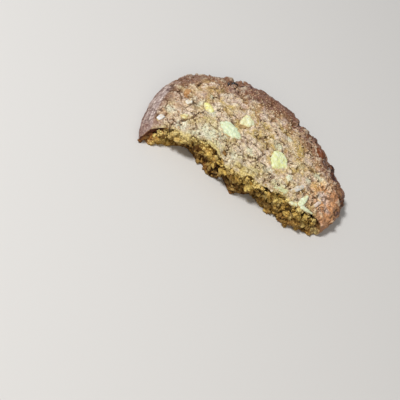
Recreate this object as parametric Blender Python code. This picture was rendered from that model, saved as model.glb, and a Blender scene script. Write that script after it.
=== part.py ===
"""One half of a white chocolate macadamia cookie that was broken by hand, lying on its baked base.

The cookie was a domed round. The half keeps more than half of the rim, and is bounded by a ragged
break. While it is modelled the round's own centre is the origin, X runs along the break and Y towards
the rim. The finished half is then moved so that its origin is the middle of its base.
"""

import math
import random

import bmesh
import bpy
import numpy as np
from mathutils import Matrix, Vector

# The baked round. All sizes are in metres.
RADIUS = 0.0455
HEIGHT = 0.0133
RIM_LEVEL = 0.0020  # height at which the round is widest
FOOT_INSET = 0.0015  # the base's edge lies this far inside the widest level
DOME_POWER = 3.0  # how flat the top is before it turns down to the rim
SHOULDER = 0.935  # share of the radius at which the top ends and the side begins
ROUND_WAVES = ((2, -0.0011, -0.0003), (3, 0.0008, 0.0006))  # waves a turn, cosine part, sine part

# The rim's own bumps and notches: where, how wide on either side (degrees), how far out.
RIM_BUMPS = (
    (136.0, 16.0, 0.0011),
    (107.5, 2.2, 0.0012),
    (103.5, 1.6, -0.0016),
    (40.0, 3.0, 0.0008),
    (31.0, 2.6, 0.0007),
    (23.0, 2.8, 0.0010),
    (14.0, 9.0, 0.0020),
    (60.6, 1.2, -0.0010),
    (55.3, 1.8, 0.0006),
    (190.0, 7.0, -0.0026),
)
LIP_FROM, LIP_TO, LIP_SOFT = 62.0, 98.0, 0.8  # a smooth lip of crust, in degrees round the rim
LIP_OUT = 0.0010
CORNER_FROM, CORNER_TO = 13.0, -31.0  # the rim turns in towards the break between these degrees
CORNER_IN = 0.0115
RIM_ROUGHNESS = 0.00045

# The break, seen from above, from its left tip to its right tip.
BREAK_POINTS = (
    (-0.0455, -0.0070),
    (-0.0430, -0.0031),
    (-0.0412, -0.0002),
    (-0.0390, 0.0010),
    (-0.0350, 0.0018),
    (-0.0310, 0.0017),
    (-0.0273, 0.0010),
    (-0.0245, 0.0012),
    (-0.0213, 0.0015),
    (-0.0175, 0.0005),
    (-0.0146, -0.0009),
    (-0.0124, -0.0038),
    (-0.0100, -0.0058),
    (-0.0075, -0.0063),
    (-0.0005, -0.0059),
    (0.0055, -0.0076),
    (0.0170, -0.0076),
    (0.0214, -0.0087),
    (0.0264, -0.0085),
    (0.0330, -0.0073),
    (0.0400, -0.0090),
)
# Hollows of the crumb below the crust: x, half width, depth as a share of the height, half height,
# how far in. Less than nothing stands out.
HOLLOWS = (
    (-0.0380, 0.0040, 1.00, 0.50, -0.0030),
    (-0.0250, 0.0075, 0.85, 0.42, 0.0036),
    (-0.0078, 0.0036, 0.85, 0.48, 0.0068),
    (-0.0024, 0.0014, 0.90, 0.30, -0.0016),
    (0.0064, 0.0054, 0.88, 0.42, 0.0046),
    (0.0155, 0.0060, 0.24, 0.12, 0.0022),
    (0.0210, 0.0046, 0.75, 0.38, -0.0018),
    (0.0335, 0.0032, 0.95, 0.40, -0.0026),
)
CRAG, CRAG_SIZE = 0.0017, 0.0042  # height and size of the crumb's coarse crags
HOLLOW_FADE, CRAG_FADE = 0.0030, 0.0060  # hollows and crags die out over these lengths towards each tip

CRUST_SWELL, SWELL_SIZE = 0.00085, 0.0090  # height and size of the broad swells on the crust
CRUST_LUMP, LUMP_SIZE = 0.00060, 0.0034  # and of its finer lumps
WALL_FROM, WALL_SOFT = 143.0, 5.0  # from these degrees on the rim is a smooth wall
WALL_TOP = 0.925  # the share of the radius where the wall ends in a raised edge of crust
WALL_EDGE = 0.0007

# White chocolate, set nearly flush in the crust: how far each piece stands out, how deep it is, and its
# corners from above.
CHOCOLATE = (
    (
        0.0009, 0.0036,
        ((-0.0170, 0.0126), (-0.0154, 0.0149), (-0.0128, 0.0158), (-0.0091, 0.0142),
         (-0.0060, 0.0110), (-0.0057, 0.0088), (-0.0095, 0.0077), (-0.0135, 0.0084),
         (-0.0164, 0.0104)),
    ),
    (
        0.0009, 0.0036,
        ((-0.0064, 0.0228), (-0.0048, 0.0221), (-0.0021, 0.0199), (-0.0024, 0.0178),
         (-0.0044, 0.0159), (-0.0088, 0.0157), (-0.0081, 0.0194)),
    ),
    (
        0.0011, 0.0036,
        ((0.0077, 0.0115), (0.0109, 0.0132), (0.0149, 0.0097), (0.0147, 0.0054), (0.0081, 0.0022),
         (0.0068, 0.0059)),
    ),
    (
        0.0006, 0.0036,
        ((-0.0243, 0.0203), (-0.0229, 0.0219), (-0.0201, 0.0206), (-0.0186, 0.0184),
         (-0.0198, 0.0164), (-0.0228, 0.0172)),
    ),
    (
        0.0004, 0.0030,
        ((-0.0323, 0.0096), (-0.0307, 0.0111), (-0.0285, 0.0114), (-0.0287, 0.0090),
         (-0.0310, 0.0081)),
    ),
    (
        0.0007, 0.0024,
        ((0.0221, -0.0057), (0.0232, -0.0032), (0.0253, -0.0014), (0.0263, -0.0024),
         (0.0252, -0.0050), (0.0247, -0.0074), (0.0233, -0.0084), (0.0218, -0.0083),
         (0.0213, -0.0073)),
    ),
    (
        0.0006, 0.0014,
        ((0.0226, -0.0066), (0.0252, -0.0068), (0.0283, -0.0070), (0.0299, -0.0074),
         (0.0292, -0.0079), (0.0261, -0.0084), (0.0232, -0.0087)),
    ),
    (
        0.0006, 0.0014,
        ((0.0180, -0.0083), (0.0197, -0.0073), (0.0220, -0.0068), (0.0225, -0.0082),
         (0.0206, -0.0089), (0.0189, -0.0090)),
    ),
    (
        0.0004, 0.0018,
        ((0.0094, -0.0058), (0.0107, -0.0050), (0.0139, -0.0041), (0.0168, -0.0037),
         (0.0176, -0.0050), (0.0154, -0.0065), (0.0127, -0.0064), (0.0099, -0.0065)),
    ),
)
# Macadamia pieces: the same values.
MACADAMIA = (
    (
        0.0006, 0.0028,
        ((-0.0403, 0.0056), (-0.0392, 0.0077), (-0.0376, 0.0082), (-0.0365, 0.0069),
         (-0.0376, 0.0054), (-0.0391, 0.0042)),
    ),
    (
        0.0005, 0.0030,
        ((-0.0316, 0.0171), (-0.0305, 0.0188), (-0.0285, 0.0190), (-0.0281, 0.0172),
         (-0.0302, 0.0156)),
    ),
    (
        0.0006, 0.0024,
        ((0.0173, -0.0035), (0.0192, -0.0007), (0.0229, 0.0022), (0.0236, 0.0009),
         (0.0218, -0.0016), (0.0194, -0.0041), (0.0182, -0.0044)),
    ),
    (
        0.0005, 0.0030,
        ((0.0138, 0.0005), (0.0152, 0.0024), (0.0174, 0.0027), (0.0174, 0.0006), (0.0151, -0.0014)),
    ),
    (
        0.0006, 0.0024,
        ((0.0284, -0.0050), (0.0291, -0.0033), (0.0314, -0.0002), (0.0327, -0.0006),
         (0.0315, -0.0027), (0.0298, -0.0048)),
    ),
)
OUTLINE_SHARPNESS, EDGE_SHARPNESS = 9.0, 3.5  # of a topping's corners, and of the edge round its flat top

CUTS = 9  # how many random cuts shape a nub or a crumb, beside the six sides of its block
CUT_NEAREST, CUT_FURTHEST = 0.74, 0.98  # how far from its middle they pass, as a share of its half size
SHARPNESS = 9.0  # how sharp its edges are

# Hard brown nubs of crust: x, y, length, width, turn in degrees, how far it stands out.
NUBS = (
    (-0.0127, 0.0392, 0.0042, 0.0026, 198.0, 0.0009),
    (-0.0078, 0.0394, 0.0028, 0.0018, 191.0, 0.0006),
    (-0.0050, 0.0422, 0.0020, 0.0016, 187.0, 0.0004),
    (0.0168, 0.0308, 0.0034, 0.0018, 151.0, 0.0004),
    (0.0232, 0.0300, 0.0046, 0.0032, 142.0, 0.0008),
    (0.0266, 0.0302, 0.0026, 0.0022, 139.0, 0.0007),
    (0.0304, 0.0236, 0.0058, 0.0046, 129.0, 0.0020),
    (0.0328, 0.0186, 0.0050, 0.0038, 120.0, 0.0011),
    (0.0360, 0.0200, 0.0032, 0.0028, 119.0, 0.0013),
    (0.0364, 0.0164, 0.0040, 0.0028, 115.0, 0.0013),
    (0.0385, 0.0152, 0.0022, 0.0020, 112.0, 0.0008),
    (0.0432, 0.0070, 0.0032, 0.0028, 99.0, 0.0011),
    (0.0404, 0.0077, 0.0019, 0.0015, 101.0, 0.0005),
    (0.0418, 0.0013, 0.0022, 0.0016, 92.0, 0.0006),
    (-0.0306, 0.0232, 0.0034, 0.0028, 95.0, 0.0005),
    (-0.0312, 0.0206, 0.0024, 0.0020, 40.0, 0.0004),
)

# Loose-looking crumbs that stick out of the break.
CRUMBS = 40
CRUMB_SMALLEST, CRUMB_LARGEST = 0.0008, 0.0019
SEED = 11

# The mesh: columns run from a spine inside the half out to its edge and down its side to the base.
SPINE_HALF, SPINE_Y = 0.0280, 0.0150
FURTHEST_TIP = 0.0490
STEP = 0.0015
TOP_RINGS = 13
SIDE_ROWS = 10
LOWEST = 0.0004  # no point of the side above the base's edge comes lower

DOUGH_COLOUR = (0.42, 0.26, 0.13, 1.0)
CHOCOLATE_COLOUR = (0.80, 0.76, 0.46, 1.0)
MACADAMIA_COLOUR = (0.78, 0.72, 0.62, 1.0)
NUB_COLOUR = (0.11, 0.035, 0.012, 1.0)


def smooth(low, high, value):
    """0 at low, 1 at high, and an S-curve between them."""
    share = np.clip((value - low) / (high - low), 0.0, 1.0)
    return share * share * (3.0 - 2.0 * share)


def bell(value, middle, half_width):
    return np.exp(-(((value - middle) / half_width) ** 2))


def scatter(cells, seed):
    """Three values from -1 to 1 for each cell of a lattice, mixed from its whole-number place."""
    mixed = (cells[..., 0] * 73856093) ^ (cells[..., 1] * 19349663) ^ (cells[..., 2] * 83492791)
    mixed = (mixed ^ (seed * 40503)) & 0x7FFFFFFF
    values = []
    for turn in range(3):
        mixed = ((mixed ^ (mixed >> 15)) * 739982445 + turn * 374761393) & 0x7FFFFFFF
        values.append((mixed ^ (mixed >> 13)) / 0x3FFFFFFF - 1.0)
    return np.stack(values, axis=-1)


def lattice_noise(points, size, seed):
    """Gradient noise from about -1 to 1: random slopes at the corners of a lattice, blended smoothly."""
    scaled = points / size
    cell = np.floor(scaled).astype(np.int64)
    inside = scaled - cell
    blend = inside**3 * (inside * (6.0 * inside - 15.0) + 10.0)
    total = np.zeros(scaled.shape[:-1])
    for corner in np.ndindex(2, 2, 2):
        slopes = scatter(cell + np.array(corner), seed)
        weight = np.prod(np.where(np.array(corner, bool), blend, 1.0 - blend), axis=-1)
        total += weight * np.sum(slopes * (inside - np.array(corner)), axis=-1)
    return 1.5 * total


def layered_noise(points, size, seed):
    """Coarse noise, and half as much noise of half its size."""
    return lattice_noise(points, size, seed) + 0.5 * lattice_noise(points, size / 2.03, seed + 1)


def rim_degrees(angle):
    """The same direction in degrees from -90, which lies below the break, round to 270."""
    return (np.degrees(angle) + 90.0) % 360.0 - 90.0


def rim_radius(angle):
    """The round's radius: slow waves, bumps, one lip of crust, one rounded corner and some roughness."""
    radius = RADIUS + sum(c * np.cos(n * angle) + s * np.sin(n * angle) for n, c, s in ROUND_WAVES)
    degrees = rim_degrees(angle)
    radius = radius + sum(out * bell(degrees, at, width) for at, width, out in RIM_BUMPS)
    rise = smooth(LIP_FROM - LIP_SOFT, LIP_FROM, degrees)
    fall = smooth(LIP_TO, LIP_TO + LIP_SOFT, degrees)
    radius = radius + LIP_OUT * (rise - fall) - CORNER_IN * smooth(CORNER_FROM, CORNER_TO, degrees)
    around = np.stack([np.cos(angle), np.sin(angle), 0.0 * angle], axis=-1)
    return radius + RIM_ROUGHNESS * layered_noise(around, 0.167, 21)


def dome_height(x, y):
    share = np.minimum(1.0, np.hypot(x, y) / rim_radius(np.arctan2(y, x)))
    return RIM_LEVEL + (HEIGHT - RIM_LEVEL) * np.sqrt(1.0 - share**DOME_POWER)


def round_share(z):
    """The share of its radius that the round has at height z, on the dome or on the foot below the rim."""
    above = np.clip((z - RIM_LEVEL) / (HEIGHT - RIM_LEVEL), 0.0, 1.0)
    drop = np.clip(1.0 - z / RIM_LEVEL, 0.0, 1.0)
    foot = FOOT_INSET / RADIUS * (1.0 - np.sqrt(1.0 - drop**2))
    return (1.0 - above**2) ** (1.0 / DOME_POWER) - foot


def break_y(x):
    """The break's smooth line: a cubic between neighbouring points, with slopes from the points by them."""
    xs, ys = np.array(BREAK_POINTS).T
    slopes = np.gradient(ys)
    slopes /= np.gradient(xs)
    x = np.clip(x, xs[0], xs[-1])
    at = np.clip(np.searchsorted(xs, x, side="right") - 1, 0, len(xs) - 2)
    width = xs[at + 1] - xs[at]
    t = (x - xs[at]) / width
    start = (2 * t**3 - 3 * t**2 + 1) * ys[at] + (t**3 - 2 * t**2 + t) * width * slopes[at]
    return start + (3 * t**2 - 2 * t**3) * ys[at + 1] + (t**3 - t**2) * width * slopes[at + 1]


def tip_x(side, share):
    """Where the break meets the round, shrunk to this share of its radius, on the left (-1) or right (1)."""
    inside, outside = side * SPINE_HALF + 0.0 * share, side * FURTHEST_TIP + 0.0 * share
    for _ in range(30):
        x = (inside + outside) / 2
        within = np.hypot(x, break_y(x)) < share * rim_radius(np.arctan2(break_y(x), x))
        inside, outside = np.where(within, x, inside), np.where(within, outside, x)
    return inside


def angle_of(x):
    """The direction of the break's point at x from the round's centre."""
    return np.radians(rim_degrees(np.arctan2(break_y(x), x)))


def angle_over(x):
    """The direction in which the far rim passes over x."""
    angle = np.arccos(x / RADIUS)
    for _ in range(30):
        angle = np.arccos(np.clip(x / (SHOULDER * rim_radius(angle)), -1.0, 1.0))
    return angle


def break_xs(share):
    """x of every break column from tip to tip, one row for each share of the round's radius."""
    left, right = tip_x(-1, share)[:, None], tip_x(1, share)[:, None]
    to_left = np.linspace(1.0, 0.0, LEFT_STEPS + 1)[:-1]
    to_right = np.linspace(0.0, 1.0, RIGHT_STEPS + 1)[1:]
    middle = np.broadcast_to(SPINE, (len(share), len(SPINE)))
    return np.hstack([-SPINE_HALF + (left + SPINE_HALF) * to_left, middle,
                      SPINE_HALF + (right - SPINE_HALF) * to_right])


def rim_angles(share):
    """The direction of every rim column, from the right tip round to the left one."""
    right, left = (angle_of(tip_x(side, share))[:, None] for side in (1, -1))
    near = np.linspace(0.0, 1.0, RIM_STEPS_RIGHT + 1)[1:-1]
    far = np.linspace(0.0, 1.0, RIM_STEPS_LEFT + 1)[1:-1]
    middle = np.broadcast_to(angle_over(SPINE[::-1]), (len(share), len(SPINE)))
    return np.hstack([right + (FAN_RIGHT - right) * near, middle, FAN_LEFT + (left - FAN_LEFT) * far])


def crag(x, depth, to_tip):
    """How far the crumb stands out of the break's line at x, from the crust (depth 0) to the base (1)."""
    hollow = sum(deep * bell(x, at, wide) * bell(depth, low, tall) for at, wide, low, tall, deep in HOLLOWS)
    hollow = hollow * smooth(0.0, 0.12, depth)
    places = np.stack([x, depth * HEIGHT * 1.17, 0.0 * x + 0.0031], axis=-1)
    rough = CRAG * layered_noise(places, CRAG_SIZE, 31) * (0.45 + 0.55 * smooth(0.0, 0.15, depth))
    return rough * smooth(0.0, CRAG_FADE, to_tip) - hollow * smooth(0.0, HOLLOW_FADE, to_tip)


def break_points(x, depth, top, to_tip):
    """Points on the broken side, pushed out along the break line's own normal."""
    slope = (break_y(x + 0.0005) - break_y(x - 0.0005)) / 0.001
    out = crag(x, depth, to_tip) / np.sqrt(1.0 + slope**2)
    return np.stack([x + out * slope, break_y(x) - out, top * (1.0 - depth)], axis=-1)


def side_rows(depths):
    """Rows round the side, from the shoulder (depth 0) to the base (1), by row, column and coordinate."""
    shoulder = RIM_LEVEL + (HEIGHT - RIM_LEVEL) * math.sqrt(1.0 - SHOULDER**DOME_POWER)
    z = shoulder * (1.0 - depths)
    share = round_share(z)
    top_x = break_xs(np.array([SHOULDER]))
    x = break_xs(share)
    to_tip = np.minimum(x - x[:, :1], x[:, -1:] - x)
    broken = break_points(x, depths[:, None] + 0.0 * x, dome_height(top_x, break_y(top_x)), to_tip)
    angle = rim_angles(share)
    radius = rim_radius(angle) * share[:, None]
    baked = np.stack([radius * np.cos(angle), radius * np.sin(angle), 0.0 * angle + z[:, None]], axis=-1)
    return np.concatenate([broken, baked], axis=1)


def relief(rows):
    """Height of the crust above the smooth dome: swells and lumps, and none on the smooth part of a wall."""
    swell = CRUST_SWELL * layered_noise(rows, SWELL_SIZE, 41)
    lumps = CRUST_LUMP * layered_noise(rows, LUMP_SIZE, 51)
    angle = np.arctan2(rows[..., 1], rows[..., 0])
    share = np.hypot(rows[..., 0], rows[..., 1]) / rim_radius(angle)
    wall = smooth(WALL_FROM - WALL_SOFT, WALL_FROM + WALL_SOFT, rim_degrees(angle))
    below = wall * smooth(WALL_TOP - 0.01, WALL_TOP + 0.02, share)
    return (swell + lumps) * (1.0 - 0.8 * below) + WALL_EDGE * wall * bell(share, WALL_TOP - 0.03, 0.03)


def half_round():
    """The dough: rings from the spine out over the top, rows down the side, and one flat face as the base."""
    side = side_rows(np.linspace(0.0, 1.0, SIDE_ROWS + 1))
    spine = np.stack([SPINE, 0.0 * SPINE + SPINE_Y, 0.0 * SPINE], axis=-1)[SPINE_INDEX]
    top = spine + (side[0] - spine) * np.linspace(0.0, 1.0, TOP_RINGS + 1)[:, None, None]
    top[..., 2] = dome_height(top[..., 0], top[..., 1])
    rows = np.concatenate([top, side[1:]])
    normals = np.cross(np.gradient(rows, axis=0), np.roll(rows, -1, axis=1) - np.roll(rows, 1, axis=1))
    normals[0] = (0.0, 0.0, 1.0)
    normals /= np.linalg.norm(normals, axis=-1, keepdims=True)
    height = relief(rows)
    height[TOP_RINGS + 1 :, :BREAK_COLUMNS] = 0.0
    rows[:-1] += (normals * height[..., None])[:-1]
    rows[:-1, :, 2] = np.maximum(rows[:-1, :, 2], LOWEST)

    first = np.searchsorted(SPINE_INDEX[: BREAK_COLUMNS + 1], np.arange(len(SPINE)))
    points = np.concatenate([rows[0][first], rows[1:].reshape(-1, 3)])
    ids = len(SPINE) + np.arange(rows[1:, :, 0].size).reshape(len(rows) - 1, -1)
    after = np.roll(ids, -1, axis=1)
    faces = np.stack([ids[:-1], ids[1:], after[1:], after[:-1]], axis=-1).reshape(-1, 4).tolist()
    for corner, near, far, following in zip(SPINE_INDEX, ids[0], after[0], np.roll(SPINE_INDEX, -1)):
        faces.append([corner, near, far] if corner == following else [corner, near, far, following])
    faces.append(ids[-1][::-1].tolist())
    return object_from("cookie", points, faces, material("baked dough", DOUGH_COLOUR, 0.85))


def object_from(name, points, faces, finish):
    mesh = bpy.data.meshes.new(name)
    mesh.from_pydata(points.tolist(), [], faces)
    mesh.materials.append(finish)
    mesh.shade_smooth()
    obj = bpy.data.objects.new(name, mesh)
    bpy.context.scene.collection.objects.link(obj)
    return obj


def material(name, colour, roughness):
    finish = bpy.data.materials.new(name)
    finish.use_nodes = True
    shader = finish.node_tree.nodes["Principled BSDF"]
    shader.inputs["Base Color"].default_value = colour
    shader.inputs["Roughness"].default_value = roughness
    shader.inputs["Metallic"].default_value = 0.0
    return finish


def chopped(ways, seed):
    """How far a chopped piece reaches each way: a block cut by random planes, with its edges rounded."""
    cells = np.stack([np.arange(CUTS), np.zeros(CUTS, int), np.zeros(CUTS, int)], axis=-1)
    cuts = scatter(cells, seed)
    cuts /= np.linalg.norm(cuts, axis=-1, keepdims=True)
    away = CUT_NEAREST + (CUT_FURTHEST - CUT_NEAREST) * (0.5 + 0.5 * scatter(cells, seed + 1)[:, 0])
    planes = np.concatenate([np.eye(3), -np.eye(3), cuts / away[:, None]])
    return (np.clip(ways @ planes.T, 0.0, None) ** SHARPNESS).sum(axis=-1) ** (-1.0 / SHARPNESS)


def ball(fineness):
    """The directions and faces of an even ball."""
    bm = bmesh.new()
    bmesh.ops.create_icosphere(bm, subdivisions=fineness, radius=1.0)
    ways = np.array([vert.co.normalized() for vert in bm.verts])
    faces = [[vert.index for vert in face.verts] for face in bm.faces]
    bm.free()
    return ways, faces


def lump(name, finish, size, seed):
    """A chopped piece about the origin, with these half sizes."""
    ways, faces = ball(1)
    return object_from(name, ways * chopped(ways, seed)[:, None] * np.array(size), faces, finish)


def slab(name, finish, depth, corners):
    """A flat piece about the origin with this depth and outline, its corners and edges rounded."""
    ways, faces = ball(2)
    offsets = np.array(corners) - np.mean(corners, axis=0)
    edges = np.roll(offsets, -1, axis=0) - offsets
    normals = np.stack([edges[:, 1], -edges[:, 0]], axis=-1)
    normals /= np.sum(normals * offsets, axis=-1, keepdims=True)
    points = ways * np.append(np.ptp(offsets, axis=0), depth) / 2
    sides = np.clip(points[:, :2] @ normals.T, 0.0, None) ** OUTLINE_SHARPNESS
    across = sides.sum(axis=-1) ** (EDGE_SHARPNESS / OUTLINE_SHARPNESS)
    reach = (across + np.abs(points[:, 2] * 2 / depth) ** EDGE_SHARPNESS) ** (1.0 / EDGE_SHARPNESS)
    return object_from(name, points / reach[:, None], faces, finish)


def lay_on_crust(obj, x, y, turn, stands_out, half_depth):
    """Sets a piece into the crust, tilted with the dome, so that it stands out by this much."""
    step = STEP
    lean_x = (dome_height(x + step, y) - dome_height(x - step, y)) / (2 * step)
    lean_y = (dome_height(x, y + step) - dome_height(x, y - step)) / (2 * step)
    up = Vector((-lean_x, -lean_y, 1.0)).normalized()
    crust = np.array([x, y, dome_height(x, y)])
    place = Vector(crust) + up * (float(relief(crust)) + stands_out - half_depth)
    tilt = Vector((0.0, 0.0, 1.0)).rotation_difference(up).to_matrix().to_4x4()
    obj.matrix_world = Matrix.Translation(place) @ tilt @ Matrix.Rotation(math.radians(turn), 4, "Z")


def toppings():
    """White chocolate and macadamia set nearly flush in the crust."""
    made = []
    kinds = (
        ("chocolate", CHOCOLATE, material("white chocolate", CHOCOLATE_COLOUR, 0.55)),
        ("macadamia", MACADAMIA, material("macadamia", MACADAMIA_COLOUR, 0.60)),
    )
    for name, places, finish in kinds:
        for stands_out, depth, corners in places:
            obj = slab(name, finish, depth, corners)
            lay_on_crust(obj, *np.mean(corners, axis=0), 0.0, stands_out, depth / 2)
            made.append(obj)
    return made


def nubs():
    """Hard browned lumps on the rim."""
    finish = material("burnt crust", NUB_COLOUR, 0.5)
    made = []
    for i, (x, y, length, width, turn, stands_out) in enumerate(NUBS):
        obj = lump("nub", finish, (length / 2, width / 2, width / 2), 401 + 2 * i)
        lay_on_crust(obj, x, y, turn, stands_out, width / 2)
        made.append(obj)
    return made


def crumbs():
    """Crumbs spread along the break, each sunk by about half into the crumb face."""
    finish = material("crumb", DOUGH_COLOUR, 0.9)
    draw = random.Random(SEED)
    made = []
    for i in range(CRUMBS):
        x = TIP_LEFT + CRAG_FADE + (TIP_RIGHT - TIP_LEFT - 2 * CRAG_FADE) * (i + draw.random()) / CRUMBS
        radius = CRUMB_SMALLEST + (CRUMB_LARGEST - CRUMB_SMALLEST) * draw.random() ** 2
        top = dome_height(x, break_y(x))
        lowest = 1.0 - (radius * 1.3 + LOWEST) / top
        depth = 0.12 + (lowest - 0.12) * draw.random()
        obj = lump("crumb", finish, (radius, radius * 0.8, radius * 0.9), 501 + 2 * i)
        place = Vector(break_points(x, depth, top, min(x - TIP_LEFT, TIP_RIGHT - x)))
        obj.matrix_world = Matrix.Translation(place) @ Matrix.Rotation(x / STEP, 4, "Z")
        made.append(obj)
    return made


def fused(body, pieces):
    """The body with every piece joined to it, after which the pieces are gone."""
    group = bpy.data.collections.new("joined")
    bpy.context.scene.collection.children.link(group)
    for piece in pieces:
        bpy.context.scene.collection.objects.unlink(piece)
        group.objects.link(piece)
    join = body.modifiers.new("join", "BOOLEAN")
    join.operation = "UNION"
    join.operand_type = "COLLECTION"
    join.collection = group
    bpy.context.view_layer.update()
    evaluated = body.evaluated_get(bpy.context.evaluated_depsgraph_get())
    mesh = bpy.data.meshes.new_from_object(evaluated)
    body.modifiers.clear()
    body.data = mesh
    for piece in pieces:
        bpy.data.objects.remove(piece)
    bpy.data.collections.remove(group)


def centre_on_base(obj):
    """Moves the mesh so that the origin is the middle of the part's footprint."""
    xs = [vert.co.x for vert in obj.data.vertices]
    ys = [vert.co.y for vert in obj.data.vertices]
    middle = Vector(((min(xs) + max(xs)) / 2, (min(ys) + max(ys)) / 2, 0.0))
    obj.data.transform(Matrix.Translation(-middle))


for leftover in list(bpy.data.objects):
    bpy.data.objects.remove(leftover)

SPINE = np.linspace(-SPINE_HALF, SPINE_HALF, round(2 * SPINE_HALF / STEP) + 1)
TIP_LEFT, TIP_RIGHT = (float(tip_x(side, np.array(SHOULDER))) for side in (-1, 1))
FAN_LEFT, FAN_RIGHT = angle_over(np.array([-SPINE_HALF, SPINE_HALF]))
LEFT_STEPS, RIGHT_STEPS = round((-SPINE_HALF - TIP_LEFT) / STEP), round((TIP_RIGHT - SPINE_HALF) / STEP)
RIM_STEPS_RIGHT = round(float(FAN_RIGHT - angle_of(TIP_RIGHT)) * RADIUS / STEP)
RIM_STEPS_LEFT = round(float(angle_of(TIP_LEFT) - FAN_LEFT) * RADIUS / STEP)
BREAK_COLUMNS = LEFT_STEPS + len(SPINE) + RIGHT_STEPS
# The point of the spine that each column starts from.
LAST = len(SPINE) - 1
SPINE_INDEX = [0] * LEFT_STEPS + list(range(len(SPINE))) + [LAST] * (RIGHT_STEPS + RIM_STEPS_RIGHT - 1)
SPINE_INDEX = np.array(SPINE_INDEX + list(range(LAST, -1, -1)) + [0] * (RIM_STEPS_LEFT - 1))

cookie = half_round()
fused(cookie, toppings() + nubs() + crumbs())
centre_on_base(cookie)
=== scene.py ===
import random

import bpy
import numpy as np
from mathutils import Matrix, Vector


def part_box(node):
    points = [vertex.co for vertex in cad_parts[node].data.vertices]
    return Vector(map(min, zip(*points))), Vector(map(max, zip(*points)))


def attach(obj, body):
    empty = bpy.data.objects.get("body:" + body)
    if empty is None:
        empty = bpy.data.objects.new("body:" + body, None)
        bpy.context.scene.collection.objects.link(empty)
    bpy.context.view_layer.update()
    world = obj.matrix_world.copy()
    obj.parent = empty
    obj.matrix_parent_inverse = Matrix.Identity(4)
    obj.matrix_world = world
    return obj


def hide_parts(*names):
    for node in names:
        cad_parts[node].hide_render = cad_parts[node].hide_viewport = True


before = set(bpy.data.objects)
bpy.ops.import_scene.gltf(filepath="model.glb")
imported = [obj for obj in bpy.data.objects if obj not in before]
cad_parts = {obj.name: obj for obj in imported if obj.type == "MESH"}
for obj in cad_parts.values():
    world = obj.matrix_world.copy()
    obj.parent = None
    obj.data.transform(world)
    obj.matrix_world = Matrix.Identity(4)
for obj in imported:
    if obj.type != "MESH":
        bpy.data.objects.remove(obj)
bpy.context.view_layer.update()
print("frame loaded")

# Shapes are worked out in millimetres, with the baked round's own centre as their origin, X along the
# break and Y towards the rim. surfacePiece turns them into metres in the frame of the part.
metresPerMm = 0.001
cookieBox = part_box("cookie")
centreFromCorner = (43.708, 10.947)  # the round's centre from the low corner of the part's box
roundCentre = np.array([cookieBox[0][0] / metresPerMm + centreFromCorner[0],
                        cookieBox[0][1] / metresPerMm + centreFromCorner[1], 0.0])

half = {
    "radius": 45.5,
    "waves": ((2, -1.1, -0.3), (3, 0.8, 0.6)),  # waves a turn, cosine part, sine part
    "height": 13.3,
    "rimLevel": 2.0,  # the round is widest at this height
    "footInset": 1.5,
    "domePower": 3.0,
    "shoulder": 0.935,  # share of the radius where the top ends and the side begins
    "rimBumps": ((136.0, 16.0, 1.1), (107.5, 2.2, 1.2), (103.5, 1.6, -1.6), (40.0, 3.0, 0.8),
                 (31.0, 2.6, 0.7), (23.0, 2.8, 1.0), (14.0, 9.0, 2.0), (60.6, 1.2, -1.0),
                 (55.3, 1.8, 0.6), (190.0, 7.0, -2.6)),  # degrees, half width, how far out
    "lip": (62.0, 98.0, 0.8, 1.0),  # from, to, softness in degrees, and how far it stands out
    "corner": (13.0, -31.0, 11.5),  # the rim turns in towards the break: from, to, how far
    "rimRoughness": 0.45,
    "breakLine": ((-45.5, -7.0), (-43.0, -3.1), (-41.2, -0.2), (-39.0, 1.0), (-35.0, 1.8), (-31.0, 1.7),
                  (-27.3, 1.0), (-24.5, 1.2), (-21.3, 1.5), (-17.5, 0.5), (-14.6, -0.9),
                  (-12.4, -3.8), (-10.0, -5.8), (-7.5, -6.3), (-0.5, -5.9), (5.5, -7.6), (17.0, -7.6),
                  (21.4, -8.7), (26.4, -8.5), (33.0, -7.3), (40.0, -9.0)),
    # hollows of the crumb: x, half width, depth as a share of the height, half height, how far in
    "hollows": ((-38.0, 4.0, 1.00, 0.50, -3.0), (-25.0, 7.5, 0.85, 0.42, 3.6), (-7.8, 3.6, 0.85, 0.48, 6.8),
                (-2.4, 1.4, 0.90, 0.30, -1.6), (6.4, 5.4, 0.88, 0.42, 4.6), (15.5, 6.0, 0.24, 0.12, 2.2),
                (21.0, 4.6, 0.75, 0.38, -1.8), (33.5, 3.2, 0.95, 0.40, -2.6)),
    "hollowTop": 0.12,  # hollows are at full depth from this share of the height down
    "cragHeight": 1.7,  # coarse crags of the crumb
    "cragTop": (0.45, 0.15),  # share of it that they have at the crust, and where they have it all
    "cragSlice": (1.17, 3.1),  # stretch down the face, and where the slice through their noise is
    "fades": (3.0, 6.0),  # hollows and crags die out over these lengths towards each tip
    "swellHeight": 0.85,  # broad swells of the crust, and its finer lumps
    "lumpHeight": 0.60,
    "wall": (143.0, 5.0, 0.925),  # the steep side at the left: from, softness in degrees, share of the radius
    "wallCalm": 0.8,
    "wallEdge": (0.7, 0.03),  # height and half width of its raised edge
}

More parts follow.
